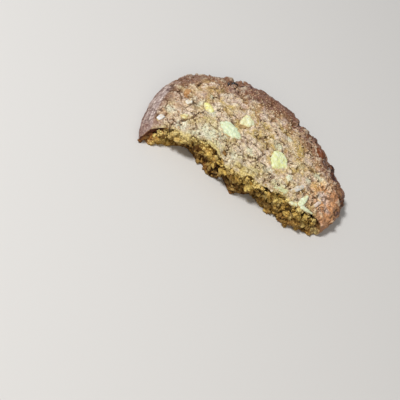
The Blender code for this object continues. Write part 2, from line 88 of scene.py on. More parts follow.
# White chocolate and macadamia: how far each stands out of the crust, how deep it is, and its corners seen
# from above.
chocolatePlaces = (
    (0.9, 3.6, ((-17.0, 12.6), (-15.4, 14.9), (-12.8, 15.8), (-9.1, 14.2), (-6.0, 11.0), (-5.7, 8.8),
                (-9.5, 7.7), (-13.5, 8.4), (-16.4, 10.4))),
    (0.9, 3.6, ((-6.4, 22.8), (-4.8, 22.1), (-2.1, 19.9), (-2.4, 17.8), (-4.4, 15.9), (-8.8, 15.7),
                (-8.1, 19.4))),
    (1.1, 3.6, ((7.7, 11.5), (10.9, 13.2), (14.9, 9.7), (14.7, 5.4), (8.1, 2.2), (6.8, 5.9))),
    (0.6, 3.6, ((-24.3, 20.3), (-22.9, 21.9), (-20.1, 20.6), (-18.6, 18.4), (-19.8, 16.4), (-22.8, 17.2))),
    (0.4, 3.0, ((-32.3, 9.6), (-30.7, 11.1), (-28.5, 11.4), (-28.7, 9.0), (-31.0, 8.1))),
    (0.7, 2.4, ((22.1, -5.7), (23.2, -3.2), (25.3, -1.4), (26.3, -2.4), (25.2, -5.0), (24.7, -7.4),
                (23.3, -8.4), (21.8, -8.3), (21.3, -7.3))),
    (0.6, 1.4, ((22.6, -6.6), (25.2, -6.8), (28.3, -7.0), (29.9, -7.4), (29.2, -7.9), (26.1, -8.4),
                (23.2, -8.7))),
    (0.6, 1.4, ((18.0, -8.3), (19.7, -7.3), (22.0, -6.8), (22.5, -8.2), (20.6, -8.9), (18.9, -9.0))),
    (0.4, 1.8, ((9.4, -5.8), (10.7, -5.0), (13.9, -4.1), (16.8, -3.7), (17.6, -5.0), (15.4, -6.5),
                (12.7, -6.4), (9.9, -6.5))),
)
macadamiaPlaces = (
    (0.6, 2.8, ((-40.3, 5.6), (-39.2, 7.7), (-37.6, 8.2), (-36.5, 6.9), (-37.6, 5.4), (-39.1, 4.2))),
    (0.5, 3.0, ((-31.6, 17.1), (-30.5, 18.8), (-28.5, 19.0), (-28.1, 17.2), (-30.2, 15.6))),
    (0.6, 2.4, ((17.3, -3.5), (19.2, -0.7), (22.9, 2.2), (23.6, 0.9), (21.8, -1.6), (19.4, -4.1),
                (18.2, -4.4))),
    (0.5, 3.0, ((13.8, 0.5), (15.2, 2.4), (17.4, 2.7), (17.4, 0.6), (15.1, -1.4))),
    (0.6, 2.4, ((28.4, -5.0), (29.1, -3.3), (31.4, -0.2), (32.7, -0.6), (31.5, -2.7), (29.8, -4.8))),
)
topping = {
    "outlineSharpness": 9.0,
    "edgeSharpness": 3.5,  # how sharply the flat top turns down
}
chopping = {
    "cuts": 9,  # random cuts through the block that a piece starts from
    "nearest": 0.74,  # how far from its middle they pass, as a share of its half size
    "furthest": 0.98,
    "sharpness": 9.0,
}
# Noise fields: size and seed, and where they aren't 2 and 0.5, the number of layers and the share of the
# height that each finer layer has.
noises = {
    "rim": (0.167, 21), "crag": (4.2, 31), "swell": (9.0, 41), "lump": (3.4, 51),
    "grit": (0.7, 69, 1), "crackleOpen": (4.5, 167, 1), "crackWander": (2.4, 77, 1), "holeEdge": (0.8, 79, 1),
    "blocks": (6.5, 95), "caves": (4.8, 91, 1), "undercut": (5.5, 151), "frayed": (2.1, 119, 3),
    "sideways1": (1.5, 114), "sideways2": (1.5, 115), "sideways3": (1.5, 116),
    "toppingEdge": (2.2, 103, 3), "dam": (4.0, 109), "lipEdge": (3.5, 105), "calm": (6.0, 153),
    "wrinkles": (0.9, 107, 1), "darkStreak": (0.55, 139, 1), "paintedSheenStreak": (0.8, 141, 1),
    "mottle": (5.0, 127, 3), "tufts": (2.2, 157), "patchy": (4.5, 155), "gold": (4.2, 137),
    "hue": (5.2, 149, 3, 0.65), "nub": (1.2, 409, 3),
}


def smoothStep(low, high, value):
    # 0 at low, 1 at high, and an S-curve between them
    share = np.clip((value - low) / (high - low), 0.0, 1.0)
    return share * share * (3.0 - 2.0 * share)


def bell(middle, halfWidth, value):
    return np.exp(-(((value - middle) / halfWidth) ** 2))


def falloff(reach, power, value):
    # 1 at value 0, and dying out over the reach
    return np.exp(-((value / reach) ** power))


def linear(start, slope, value):
    return start + slope * value


def scatter(cells, seed):
    # three values from -1 to 1 for each cell of a lattice, from its whole-number place mixed three times
    mixed = (cells[..., 0] * 73856093) ^ (cells[..., 1] * 19349663) ^ (cells[..., 2] * 83492791)
    mixed = (mixed ^ (seed * 40503)) & 0x7FFFFFFF
    values = []
    for turn in range(3):
        mixed = ((mixed ^ (mixed >> 15)) * 739982445 + turn * 374761393) & 0x7FFFFFFF
        values.append((mixed ^ (mixed >> 13)) / 0x3FFFFFFF - 1.0)
    return np.stack(values, axis=-1)


def latticeNoise(points, size, seed):
    # gradient noise: every corner of a cubic lattice holds a random slope, and the eight slopes around a
    # point are blended by a smooth curve, which gives about -1 to 1
    scaled = np.asarray(points) / size
    cell = np.floor(scaled).astype(np.int64)
    inside = scaled - cell
    blend = inside**3 * (inside * (6.0 * inside - 15.0) + 10.0)
    total = np.zeros(scaled.shape[:-1])
    for corner in np.ndindex(2, 2, 2):
        slopes = scatter(cell + np.array(corner), seed)
        weight = np.prod(np.where(np.array(corner, bool), blend, 1.0 - blend), axis=-1)
        total += weight * np.sum(slopes * (inside - np.array(corner)), axis=-1)
    return 1.5 * total


def layeredNoise(points, size, seed, layers=2, share=0.5):
    # each layer is half as coarse and share as high as the one before it
    return sum(share**i * latticeNoise(points, size / 2.03**i, seed + i) for i in range(layers))


def noise(name, points):
    return layeredNoise(points, *noises[name])


def clumpNoise(points, size, seed, layers, share):
    # rounded clumps with creases between them: the noise without its sign, for each layer
    return sum(share**i * (2.6 * np.abs(latticeNoise(points, size / 2.03**i, seed + i)) - 0.6)
               for i in range(layers))


def cellPattern(points, size, seed):
    # one random point in each cell of a lattice: gives the distance to the nearest one and to the next, in
    # cells, and three random values that belong to the nearest
    scaled = np.asarray(points) / size
    home = np.floor(scaled).astype(np.int64)
    nearest = np.full(scaled.shape[:-1], 9.0)
    second = nearest.copy()
    values = np.zeros(scaled.shape)
    for step in np.ndindex(3, 3, 3):
        cell = home + np.array(step) - 1
        centre = cell + 0.5 + 0.45 * scatter(cell, seed)
        distance = np.linalg.norm(scaled - centre, axis=-1)
        closer = distance < nearest
        second = np.where(closer, nearest, np.minimum(second, distance))
        nearest = np.where(closer, distance, nearest)
        values = np.where(closer[..., None], scatter(cell, seed + 71), values)
    return nearest, second, values


def rimDegrees(angle):
    # the same direction in degrees from -90, which lies below the break, round to 270
    return (np.degrees(angle) + 90.0) % 360.0 - 90.0


def rimRadius(angle):
    # the round's radius: slow waves, local bumps, one lip of crust, one rounded corner, and some noise
    radius = half["radius"] + sum(c * np.cos(n * angle) + s * np.sin(n * angle) for n, c, s in half["waves"])
    degrees = rimDegrees(angle)
    radius = radius + sum(out * bell(at, width, degrees) for at, width, out in half["rimBumps"])
    start, end, soft, out = half["lip"]
    radius = radius + out * (smoothStep(start - soft, start, degrees) - smoothStep(end, end + soft, degrees))
    start, end, inward = half["corner"]
    radius = radius - inward * smoothStep(start, end, degrees)
    around = np.stack([np.cos(angle), np.sin(angle), np.zeros_like(angle)], axis=-1)
    return radius + half["rimRoughness"] * noise("rim", around)


def domeHeight(x, y):
    # height of the crust: a flat dome that falls to the rim as the root of 1 - share^power
    share = np.minimum(1.0, np.hypot(x, y) / rimRadius(np.arctan2(y, x)))
    rise = half["height"] - half["rimLevel"]
    return half["rimLevel"] + rise * np.sqrt(1.0 - share ** half["domePower"])


def roundShare(z):
    # share of its radius that the round has at height z, on the dome or on the foot below the rim
    above = np.clip((z - half["rimLevel"]) / (half["height"] - half["rimLevel"]), 0.0, 1.0)
    dome = (1.0 - above**2) ** (1.0 / half["domePower"])
    drop = np.clip(1.0 - z / half["rimLevel"], 0.0, 1.0)
    return dome - half["footInset"] / half["radius"] * (1.0 - np.sqrt(1.0 - drop**2))


def breakY(x):
    # the break's smooth line: a cubic between neighbouring points, with slopes from the points about them
    xs, ys = np.array(half["breakLine"]).T
    slopes = np.gradient(ys) / np.gradient(xs)
    x = np.clip(x, xs[0], xs[-1])
    at = np.clip(np.searchsorted(xs, x, side="right") - 1, 0, len(xs) - 2)
    width = xs[at + 1] - xs[at]
    t = (x - xs[at]) / width
    start = (2 * t**3 - 3 * t**2 + 1) * ys[at] + (t**3 - 2 * t**2 + t) * width * slopes[at]
    return start + (3 * t**2 - 2 * t**3) * ys[at + 1] + (t**3 - t**2) * width * slopes[at + 1]


grid = {
    "step": 0.33,  # distance between columns
    "spineHalf": 28.0,
    "spineY": 15.0,
    "furthestTip": 49.0,
    "topRings": 84,
    "sideRows": 42,
    "baseRings": (0.985, 0.94, 0.8, 0.55, 0.25),
}


def tipX(side, share):
    # where the break meets the round, shrunk to this share of its radius, by halving the interval
    inside = np.full(np.shape(share), side * grid["spineHalf"])
    outside = np.full(np.shape(share), side * grid["furthestTip"])
    for _ in range(30):
        x = (inside + outside) / 2
        y = breakY(x)
        within = np.hypot(x, y) < share * rimRadius(np.arctan2(y, x))
        inside, outside = np.where(within, x, inside), np.where(within, outside, x)
    return inside


def angleOfBreak(x):
    # the direction of the break's point at x from the round's centre
    return np.radians(rimDegrees(np.arctan2(breakY(x), x)))


def angleOverX(x):
    # the direction in which the far rim passes over x
    angle = np.arccos(x / half["radius"])
    for _ in range(30):
        angle = np.arccos(np.clip(x / (half["shoulder"] * rimRadius(angle)), -1.0, 1.0))
    return angle


reach = grid["spineHalf"]
spineX = np.linspace(-reach, reach, round(2 * reach / grid["step"]) + 1)
tipLeft, tipRight = (tipX(side, np.array([half["shoulder"]]))[0] for side in (-1, 1))
fanLeft, fanRight = angleOverX(np.array([-reach, reach]))
tipStepsLeft = round((-reach - tipLeft) / grid["step"])
tipStepsRight = round((tipRight - reach) / grid["step"])
rimStepsRight = round((fanRight - angleOfBreak(tipRight)) * half["radius"] / grid["step"])
rimStepsLeft = round((angleOfBreak(tipLeft) - fanLeft) * half["radius"] / grid["step"])
breakColumns = tipStepsLeft + len(spineX) + tipStepsRight
lastOfSpine = len(spineX) - 1
spineIndex = np.concatenate([
    np.zeros(tipStepsLeft, int), np.arange(len(spineX)),
    np.full(tipStepsRight + rimStepsRight - 1, lastOfSpine),
    np.arange(len(spineX))[::-1], np.zeros(rimStepsLeft - 1, int)])
firstOfSpine = tipStepsLeft + np.arange(len(spineX))


def breakXs(share):
    # x of every break column, tip to tip, for each share of the round's radius
    left, right = tipX(-1, share)[:, None], tipX(1, share)[:, None]
    toLeft = np.linspace(1.0, 0.0, tipStepsLeft + 1)[:-1]
    toRight = np.linspace(0.0, 1.0, tipStepsRight + 1)[1:]
    middle = np.broadcast_to(spineX, (len(share), len(spineX)))
    ends = -reach + (left + reach) * toLeft, reach + (right - reach) * toRight
    return np.concatenate([ends[0], middle, ends[1]], axis=1)


def rimAngles(share):
    # direction of every rim column, from the right tip round to the left one
    right, left = (angleOfBreak(tipX(side, share))[:, None] for side in (1, -1))
    along = np.linspace(0.0, 1.0, rimStepsRight + 1)[1:-1]
    back = np.linspace(0.0, 1.0, rimStepsLeft + 1)[1:-1]
    middle = np.broadcast_to(angleOverX(spineX[::-1]), (len(share), len(spineX)))
    ends = right + (fanRight - right) * along, fanLeft + (left - fanLeft) * back
    return np.concatenate([ends[0], middle, ends[1]], axis=1)


def cragOut(x, depth, toTip):
    # how far the crumb stands out of the break's line: minus the hollows, each a bell along the break and
    # down its height, plus coarse crags, all dying out towards the tips
    hollow = sum(deep * bell(at, wide, x) * bell(low, tall, depth)
                 for at, wide, low, tall, deep in half["hollows"])
    hollow = hollow * smoothStep(0.0, half["hollowTop"], depth)
    stretch, sliceAt = half["cragSlice"]
    places = np.stack([x, depth * half["height"] * stretch, np.full_like(x, sliceAt)], axis=-1)
    atTop, fullAt = half["cragTop"]
    rough = half["cragHeight"] * noise("crag", places)
    rough = rough * (atTop + (1.0 - atTop) * smoothStep(0.0, fullAt, depth))
    hollowFade, cragFade = half["fades"]
    return rough * smoothStep(0.0, cragFade, toTip) - hollow * smoothStep(0.0, hollowFade, toTip)


def breakPoints(x, depth, top, toTip):
    # points on the broken side, pushed out along the break line's own normal
    slope = breakY(x + 0.5) - breakY(x - 0.5)
    out = cragOut(x, depth, toTip) / np.sqrt(1.0 + slope**2)
    return np.stack([x + out * slope, breakY(x) - out, top * (1.0 - depth)], axis=-1)


def sideRows(depths):
    # rows round the side, from the shoulder (depth 0) down to the base (depth 1): [row, column, xyz]
    rise = half["height"] - half["rimLevel"]
    shoulderZ = half["rimLevel"] + rise * np.sqrt(1.0 - half["shoulder"] ** half["domePower"])
    z = shoulderZ * (1.0 - depths)
    share = roundShare(z)
    x = breakXs(share)
    topX = breakXs(np.array([half["shoulder"]]))
    toTip = np.minimum(x - x[:, :1], x[:, -1:] - x)
    broken = breakPoints(x, np.broadcast_to(depths[:, None], x.shape), domeHeight(topX, breakY(topX)), toTip)
    angle = rimAngles(share)
    radius = rimRadius(angle) * share[:, None]
    heights = np.broadcast_to(z[:, None], angle.shape)
    baked = np.stack([radius * np.cos(angle), radius * np.sin(angle), heights], axis=-1)
    return np.concatenate([broken, baked], axis=1), toTip


def doughRows():
    # rings over the top, each a share of the way from the spine out to the edge, then the rows of the side
    side, toTip = sideRows(np.linspace(0.0, 1.0, grid["sideRows"] + 1))
    spine = np.stack([spineX, np.full_like(spineX, grid["spineY"]), np.zeros_like(spineX)], axis=-1)
    spine = spine[spineIndex]
    shares = np.linspace(0.0, 1.0, grid["topRings"] + 1)[:, None, None]
    top = spine + (side[0] - spine) * shares
    top[..., 2] = domeHeight(top[..., 0], top[..., 1])
    return np.concatenate([top, side[1:]], axis=0), spine, toTip


def rowNormals(rows):
    # the cross product of the steps outward and around; the spine takes the mean of its two sides
    outward = np.gradient(rows, axis=0)
    around = np.roll(rows, -1, axis=1) - np.roll(rows, 1, axis=1)
    normals = np.cross(outward, around)
    normals[0] = (0.0, 0.0, 1.0)
    return normals / np.linalg.norm(normals, axis=-1, keepdims=True)


def broadRelief(points):
    # swells and lumps of the crust, calm on the wall at the left, which ends in a raised edge
    relief = half["swellHeight"] * noise("swell", points) + half["lumpHeight"] * noise("lump", points)
    angle = np.arctan2(points[..., 1], points[..., 0])
    share = np.hypot(points[..., 0], points[..., 1]) / rimRadius(angle)
    start, soft, top = half["wall"]
    wall = smoothStep(start - soft, start + soft, rimDegrees(angle))
    below = wall * smoothStep(top - 0.01, top + 0.02, share)
    edge, wide = half["wallEdge"]
    raised = edge * wall * bell(top - wide, wide, share)
    return relief * (1.0 - half["wallCalm"] * below) + raised, wall, share


def choppedReach(ways, seed):
    # how far a chopped piece reaches each way: a block cut by random planes. The reach is the inverse of a
    # power mean of the way's parts along the planes' normals, which rounds the edges a little
    cells = np.stack([np.arange(chopping["cuts"]), *np.zeros((2, chopping["cuts"]), int)], axis=-1)
    cuts = scatter(cells, seed)
    cuts /= np.linalg.norm(cuts, axis=-1, keepdims=True)
    near, far = chopping["nearest"], chopping["furthest"]
    away = near + (far - near) * (0.5 + 0.5 * scatter(cells, seed + 1)[:, 0])
    planes = np.concatenate([np.eye(3), -np.eye(3), cuts / away[:, None]])
    power = chopping["sharpness"]
    return (np.clip(ways @ planes.T, 0.0, None) ** power).sum(axis=-1) ** (-1.0 / power)


def outlineReach(points, corners):
    # for each point seen from above, its distance from the outline's middle as a share of the way to the
    # outline: a power mean over the sides, so that the corners are a little rounded
    corners = np.array(corners)
    middle = corners.mean(axis=0)
    edges = np.roll(corners, -1, axis=0) - corners
    normals = np.stack([edges[:, 1], -edges[:, 0]], axis=-1)
    normals /= np.sum(normals * (corners - middle), axis=-1, keepdims=True)
    power = topping["outlineSharpness"]
    return (np.clip((points[..., :2] - middle) @ normals.T, 0.0, None) ** power).sum(axis=-1) ** (1.0 / power)


def toppingReach(points, places):
    # the same share for the topping that is nearest: 1 is at its edge
    return np.min([outlineReach(points, corners) for *_, corners in places], axis=0)


def surfacePiece(name, points, faces, material, attributes):
    # a mesh from points in millimetres and faces, placed in the part's frame, with one value for each point
    mesh = bpy.data.meshes.new(name)
    placed = (np.asarray(points) + roundCentre) * metresPerMm
    mesh.from_pydata(placed.tolist(), [], [tuple(face) for face in faces])
    mesh.polygons.foreach_set("use_smooth", np.ones(len(mesh.polygons), bool))
    for label, values in attributes.items():
        layer = mesh.attributes.new(label, "FLOAT_COLOR", "POINT")
        layer.data.foreach_set("color", np.ascontiguousarray(values, np.float32).ravel())
    mesh.materials.append(material)
    mesh.update()
    piece = bpy.data.objects.new(name, mesh)
    bpy.context.scene.collection.objects.link(piece)
    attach(piece, "root")
    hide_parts("cookie")


def linearColour(code):
    # an sRGB hex value as linear red, green, blue and alpha
    parts = [int(code[i:i + 2], 16) / 255 for i in (1, 3, 5)]
    return (*(p / 12.92 if p <= 0.04045 else ((p + 0.055) / 1.055) ** 2.4 for p in parts), 1.0)


def addNode(tree, kind, settings=None, links=None):
    # one node: a setting is an input's value or the node's own property, and a link is a socket that feeds
    # an input
    node = tree.nodes.new("ShaderNode" + kind)
    for key, value in (settings or {}).items():
        if isinstance(key, int) or key in node.inputs:
            node.inputs[key].default_value = value
        else:
            setattr(node, key, value)
    for key, source in (links or {}).items():
        tree.links.new(source, node.inputs[key])
    return node


def newMaterial(name):
    material = bpy.data.materials.new(name)
    material.use_nodes = True
    tree = material.node_tree
    return material, tree, tree.nodes["Principled BSDF"]


def ranged(tree, source, low, high, bottom=0.0, top=1.0):
    # the source's values from low to high, spread from bottom to top
    return addNode(tree, "MapRange", {1: low, 2: high, 3: bottom, 4: top}, {0: source}).outputs[0]


def grains(tree, place, scale, detail, roughness=0.5):
    settings = {"Scale": scale, "Detail": detail, "Roughness": roughness}
    return addNode(tree, "TexNoise", settings, {"Vector": place}).outputs["Fac"]


def overlaid(tree, under, amount, code):
    # a colour laid over another one by this amount
    settings = {"data_type": "RGBA", 7: linearColour(code)}
    return addNode(tree, "Mix", settings, {0: amount, 6: under}).outputs[2]


def finished(tree, shader, colour, height, strength, distance):
    # the colour and the finest relief of a surface
    tree.links.new(colour, shader.inputs["Base Color"])
    bump = addNode(tree, "Bump", {"Strength": strength, "Distance": distance}, {"Height": height})
    tree.links.new(bump.outputs[0], shader.inputs["Normal"])


# What the four values of each attribute of the dough say: how much of this shows at a point.
attributeParts = {
    "tone": ("rim", "pale", "crumb", "pit"), "spots": ("mauve", "gold", "burnt", "grain"),
    "fleck": ("toast", "raised", "low", "wall"), "lines": ("streak", "straw", "olive", "rose"),
}
doughFinish = {
    "crust": "#cdb288",  # golden baked dough
    # paleGrain is also laid on the tops of the relief as a painted highlight, and darkGrain in its hollows
    # and seams as painted shade
    "paleGrain": "#f0e8cc", "darkGrain": "#85603a",
    "mauve": "#a8755b",  # smooth crust, greyer and pinker
    # the wall colour is the smooth left side's own brown greyed to mauve, partly as a painted sky reflection
    "wall": "#917a7a", "wallShade": "#6e463a",
    "pale": "#d1d9be",  # bloom along the edge of the break
    "straw": "#c2a955", "gold": "#bb8a3a",
    # rose also lays painted sheen streaks on the wall and painted highlights at the toasted tip, besides
    # pinker grains
    "olive": "#b99c46", "rose": "#dccbc2",  # grains of the crust differ in hue
    "rim": "#703f30",  # well baked rim
    # the toasted end is laid brighter than its toasted colour, as painted light where the lamps leave the tip
    # dim
    "toast": "#ffb878",  # toasted end
    "burnt": "#5e2c12",  # caramel in the section of the rim
    "crumb": "#c39636",  # open crumb of the break
    # on the crumb, paleCrumb is also painted light below the crust, strawCrumb a painted highlight on its
    # lumps, and darkCrumb also painted shade further down and in its hollows
    "amber": "#ba792e", "strawCrumb": "#dec873", "paleCrumb": "#e8dea4", "darkCrumb": "#5e2b0a",
    # the pit colour is dark brown laid into pits, cracks and the crumb's pores by their depth, as painted
    # shade
    "pit": "#4a2a14",
}
# Colours laid over each other in this order: the colour, where it shows, and how strongly.
# On the dough's skin, the layers that go by raised are a painted highlight on the tops of its relief, and
# those that go by low a painted shade in its hollows.
crustLayers = (
    ("gold", "gold", 0.75), ("paleGrain", "grainUp", 0.30), ("darkGrain", "grainDown", 0.15),
    ("olive", "olive", 0.75), ("mauve", "mauve", 0.85), ("toast", "toast", 0.95), ("pale", "pale", 0.88),
    ("wall", "wall", 0.95), ("straw", "straw", 0.75), ("rose", "rose", 0.85), ("wallShade", "streak", 0.8),
    ("rim", "rim", 0.92), ("paleGrain", "raised", 0.36), ("paleGrain", "fineUp", 0.15),
    ("darkGrain", "fineDown", 0.20), ("darkGrain", "low", 0.6))
# On the crumb, pale is painted light, raised a painted highlight and low painted shade.
crumbLayers = (
    ("amber", "gold", 0.8), ("paleCrumb", "grainUp", 0.30), ("darkCrumb", "grainDown", 0.30),
    ("paleCrumb", "pale", 0.8), ("strawCrumb", "raised", 0.7), ("paleCrumb", "fineUp", 0.2),
    ("darkCrumb", "fineDown", 0.2), ("darkCrumb", "low", 0.8))


def bakedDough():
    # Baked cookie dough, craggy from butter and sugar that set in the oven: a matte crust mottled grain by
    # grain, browner and smoother on the rim, over a yellow open crumb.
    material, tree, shader = newMaterial("baked butter dough")
    place = addNode(tree, "TexCoord").outputs["Object"]
    masks = {}
    for label, parts in attributeParts.items():
        attribute = addNode(tree, "Attribute", {"attribute_name": label})
        split = addNode(tree, "SeparateColor", links={0: attribute.outputs["Color"]}).outputs
        masks.update(zip(parts, (*split[:3], attribute.outputs["Alpha"])))
    fine = grains(tree, place, 1400.0, 3.0, 0.6)  # grains of 0.7 mm
    masks["fineUp"], masks["fineDown"] = ranged(tree, fine, 0.50, 0.66), ranged(tree, fine, 0.48, 0.34)
    masks["grainUp"] = ranged(tree, masks["grain"], 0.55, 0.95)
    masks["grainDown"] = ranged(tree, masks["grain"], 0.45, 0.05)

    def layered(base, layers):
        colour = addNode(tree, "RGB").outputs[0]
        colour.default_value = linearColour(doughFinish[base])
        for name, mask, share in layers:
            amount = addNode(tree, "Math", {"operation": "MULTIPLY", 1: share}, {0: masks[mask]}).outputs[0]
            colour = overlaid(tree, colour, amount, doughFinish[name])
        return colour

    both = {0: masks["crumb"], 6: layered("crust", crustLayers), 7: layered("crumb", crumbLayers)}
    colour = addNode(tree, "Mix", {"data_type": "RGBA"}, both).outputs[2]
    # the pit colour is painted shade in pits, cracks and pores; burnt is the caramel in the rim's section
    for name in ("pit", "burnt"):
        colour = overlaid(tree, colour, masks[name], doughFinish[name])
    # grains are lighter or darker in the same colour
    value = ranged(tree, fine, 0.36, 0.64, 0.70, 1.27)
    colour = addNode(tree, "HueSaturation", {"Fac": 1.0}, {"Value": value, "Color": colour}).outputs[0]
    both = {0: masks["rim"], 1: masks["toast"]}
    smoother = addNode(tree, "Math", {"operation": "MAXIMUM"}, both).outputs[0]
    tree.links.new(ranged(tree, smoother, 0.0, 1.0, 0.72, 0.5), shader.inputs["Roughness"])
    grit = grains(tree, place, 2600.0, 2.0, 0.6)
    height = addNode(tree, "Math", {"operation": "MULTIPLY_ADD", 1: 1.6}, {0: fine, 2: grit}).outputs[0]
    finished(tree, shader, colour, height, 0.7, 0.0003)
    shader.inputs["IOR"].default_value = 1.45
    shader.inputs["Specular IOR Level"].default_value = 0.42
    return material


# Each topping's kind: its clouds and specks, roughness, then the colour of each piece in the order of places.
toppingFinish = {
    "dust": "#c6ad7e",  # dough that clings to the edges
    "chocolate": ("#e6edd2", "#ddcf86", 0.5),
    "macadamia": ("#d9c8ab", "#c9ad85", 0.58),
    "chocolateTints": ("#cedbb6", "#e0dcae", "#d9dd9e", "#e4e090", "#d0bd74", "#dbe3bd", "#d9dcb4", "#dbd396",
                       "#c9cd9c"),
    "macadamiaTints": ("#d3d5d8", "#dcdad0", "#cfccc4", "#d6d9bc", "#dccabf"),
}


def toppingMaterial(name, cloudColour, speckColour, roughness):
    # Chocolate or nut that baked in the dough: a satin, slightly translucent body in the piece's own colour
    # (attribute shade), clouded at 1.7 mm, specked at 0.6 mm, and dusted with dough at its edge (alpha)
    material, tree, shader = newMaterial(name)
    place = addNode(tree, "TexCoord").outputs["Object"]
    shade = addNode(tree, "Attribute", {"attribute_name": "shade"}).outputs
    speck = grains(tree, place, 1700.0, 2.0)
    clouded = ranged(tree, grains(tree, place, 600.0, 3.0), 0.44, 0.62, 0.0, 0.65)
    colour = overlaid(tree, shade["Color"], clouded, cloudColour)
    colour = overlaid(tree, colour, ranged(tree, speck, 0.54, 0.70, 0.0, 0.45), speckColour)
    colour = overlaid(tree, colour, shade["Alpha"], toppingFinish["dust"])
    finished(tree, shader, colour, speck, 0.5, 0.0002)
    for key, value in (("Roughness", roughness), ("IOR", 1.46), ("Subsurface Weight", 0.2),
                       ("Subsurface Radius", (1.0, 0.85, 0.5)), ("Subsurface Scale", 0.001)):
        shader.inputs[key].default_value = value
    return material


crustTexture = {
    "warp": (2.6, 0.7, 61),  # size, strength and seed of what bends the clumps
    "clumps": (0.36, 3.8, 67, 3, 0.50),  # height of the coarsest, its size, seed, layers and share of each
    "granuleWarp": (0.9, 0.35, 63),
    "granules": (0.27, 1.35, 65),  # height, size, seed
    "granuleForm": (2.4, 0.7, 0.8, 0.5),  # steepness, roundness, least and spread of their heights
    "crackleWarp": (2.0, 0.8, 161),
    "crackle": (0.8, 0.10, 5.2, 165),  # depth, width as a share of a plate, size of the plates, seed
    "crackleOpen": (-0.15, 0.2),
    "gritHeight": 0.07,
    "pits": (0.8, 4.4, 0.4, 73),  # depth, spacing, share of cells that hold one, seed
    "spread": (1.8, 1.2),  # cracks and holes reach this much past their half width and radius
    "wrinkleHeight": 0.22,
}
crumbTexture = {
    "warp": (2.4, 1.1, 81),
    "clumps": (1.1, 3.9, 83, 3, 0.56),
    "blockHeight": 1.1,  # the largest pieces that stand out or fell away
    "pores": (0.9, 2.2, 0.4, 97),
    "caves": (2.8, 0.05, 0.55),  # depth, and where in their noise they start and are full
    "grain": (1.5, 89),
    "finer": (0.62, -20.0, -6.0),  # share of its height at the left, and from which x to which it grows
    "tight": (0.65, -29.0, 10.0),  # pores are shallower by this share about this x, over this half width
    "sideways": 0.8,  # how far it is also pushed along the face
    # below this share the loose crumbs are darker, as painted shade
    "shadeFrom": 0.3,  # share of the height below the crust from which it browns
    "undercut": (2.0, 2.6, 1.3),  # how far in, how far below the crust, and its half height
    "undercutUneven": (0.75, 0.6),
    "undercutFrom": (-20.0, -14.0),
    "frayed": (0.9, 2.2),  # how far the crust's broken edge is bitten in or out, and how far that reaches
    "fade": 4.0,  # its relief dies out over this length towards each tip
}
# Cracks in the crust: from x, y to x, y, half width, depth.
cracks = ((11.3, 13.2, 13.4, 11.6, 0.4, 1.0), (13.4, 11.6, 16.0, 9.4, 0.45, 1.0),
          (16.0, 9.4, 18.0, 8.9, 0.35, 0.8), (10.4, 18.0, 12.3, 17.3, 0.4, 0.9),
          (11.1, 15.4, 12.3, 17.3, 0.35, 0.8), (4.4, 13.9, 5.6, 11.4, 0.4, 1.0),
          (-2.3, 4.0, -0.9, 3.3, 0.35, 0.9), (-0.9, 3.3, 2.5, 4.8, 0.35, 0.8),
          (3.2, 3.1, 5.9, 2.7, 0.45, 1.0), (-0.8, 14.3, 0.7, 13.9, 0.4, 0.8),
          (0.7, 13.9, 4.4, 17.2, 0.4, 0.7), (-17.7, 15.6, -16.2, 14.2, 0.45, 1.0),
          (-12.2, 16.3, -10.2, 15.3, 0.45, 0.9), (-23.4, 16.1, -27.4, 10.0, 0.4, 0.9),
          (-39.3, 10.4, -38.0, 9.0, 0.4, 0.8), (-18.6, 28.0, -18.2, 25.2, 0.35, 0.7),
          (7.4, 21.7, 9.0, 19.9, 0.6, 0.9), (-22.5, 28.6, -17.3, 31.9, 0.3, 0.6))
# Single holes in the crust: x, y, radius, depth.
holes = ((2.1, 24.5, 0.75, 1.1), (9.6, 24.5, 0.55, 0.9), (4.5, 21.1, 0.45, 0.9), (-3.8, 8.2, 0.5, 1.0),
         (-3.6, 9.3, 0.35, 0.8), (-6.7, 6.6, 0.45, 1.0), (-11.4, 3.3, 0.7, 1.2), (-10.2, 5.7, 0.4, 0.9),
         (-5.7, 3.5, 0.45, 0.9), (-23.2, 4.1, 0.55, 1.1), (-17.3, 19.2, 0.75, 1.1), (-13.8, 16.5, 0.35, 0.7),
         (-25.6, 6.0, 0.4, 0.9), (-33.2, 3.0, 0.45, 0.9), (-16.5, 23.2, 0.4, 0.8), (14.0, 30.7, 0.5, 0.9),
         (21.6, -5.6, 0.6, 1.2), (34.0, 0.8, 0.4, 0.8), (25.9, -6.4, 0.5, 1.0), (28.3, -3.8, 0.4, 0.8),
         (31.4, -7.2, 0.5, 1.0), (12.4, -3.2, 0.65, 1.2), (15.8, 3.3, 0.45, 0.9), (16.9, -2.8, 0.4, 0.8),
         (22.7, 4.4, 0.35, 0.7), (-8.7, 5.7, 0.4, 0.8), (-2.5, 7.0, 0.45, 0.9), (5.6, 11.4, 0.5, 1.0),
         (5.6, 2.7, 0.65, 1.2), (0.2, 9.7, 0.4, 0.8), (11.8, 23.3, 0.35, 0.8), (-3.3, 14.1, 0.35, 0.7),
         (-34.5, 18.0, 0.45, 0.8), (-28.0, 13.0, 0.4, 0.7), (25.0, 18.0, 0.4, 0.8), (20.5, 24.0, 0.45, 0.8))
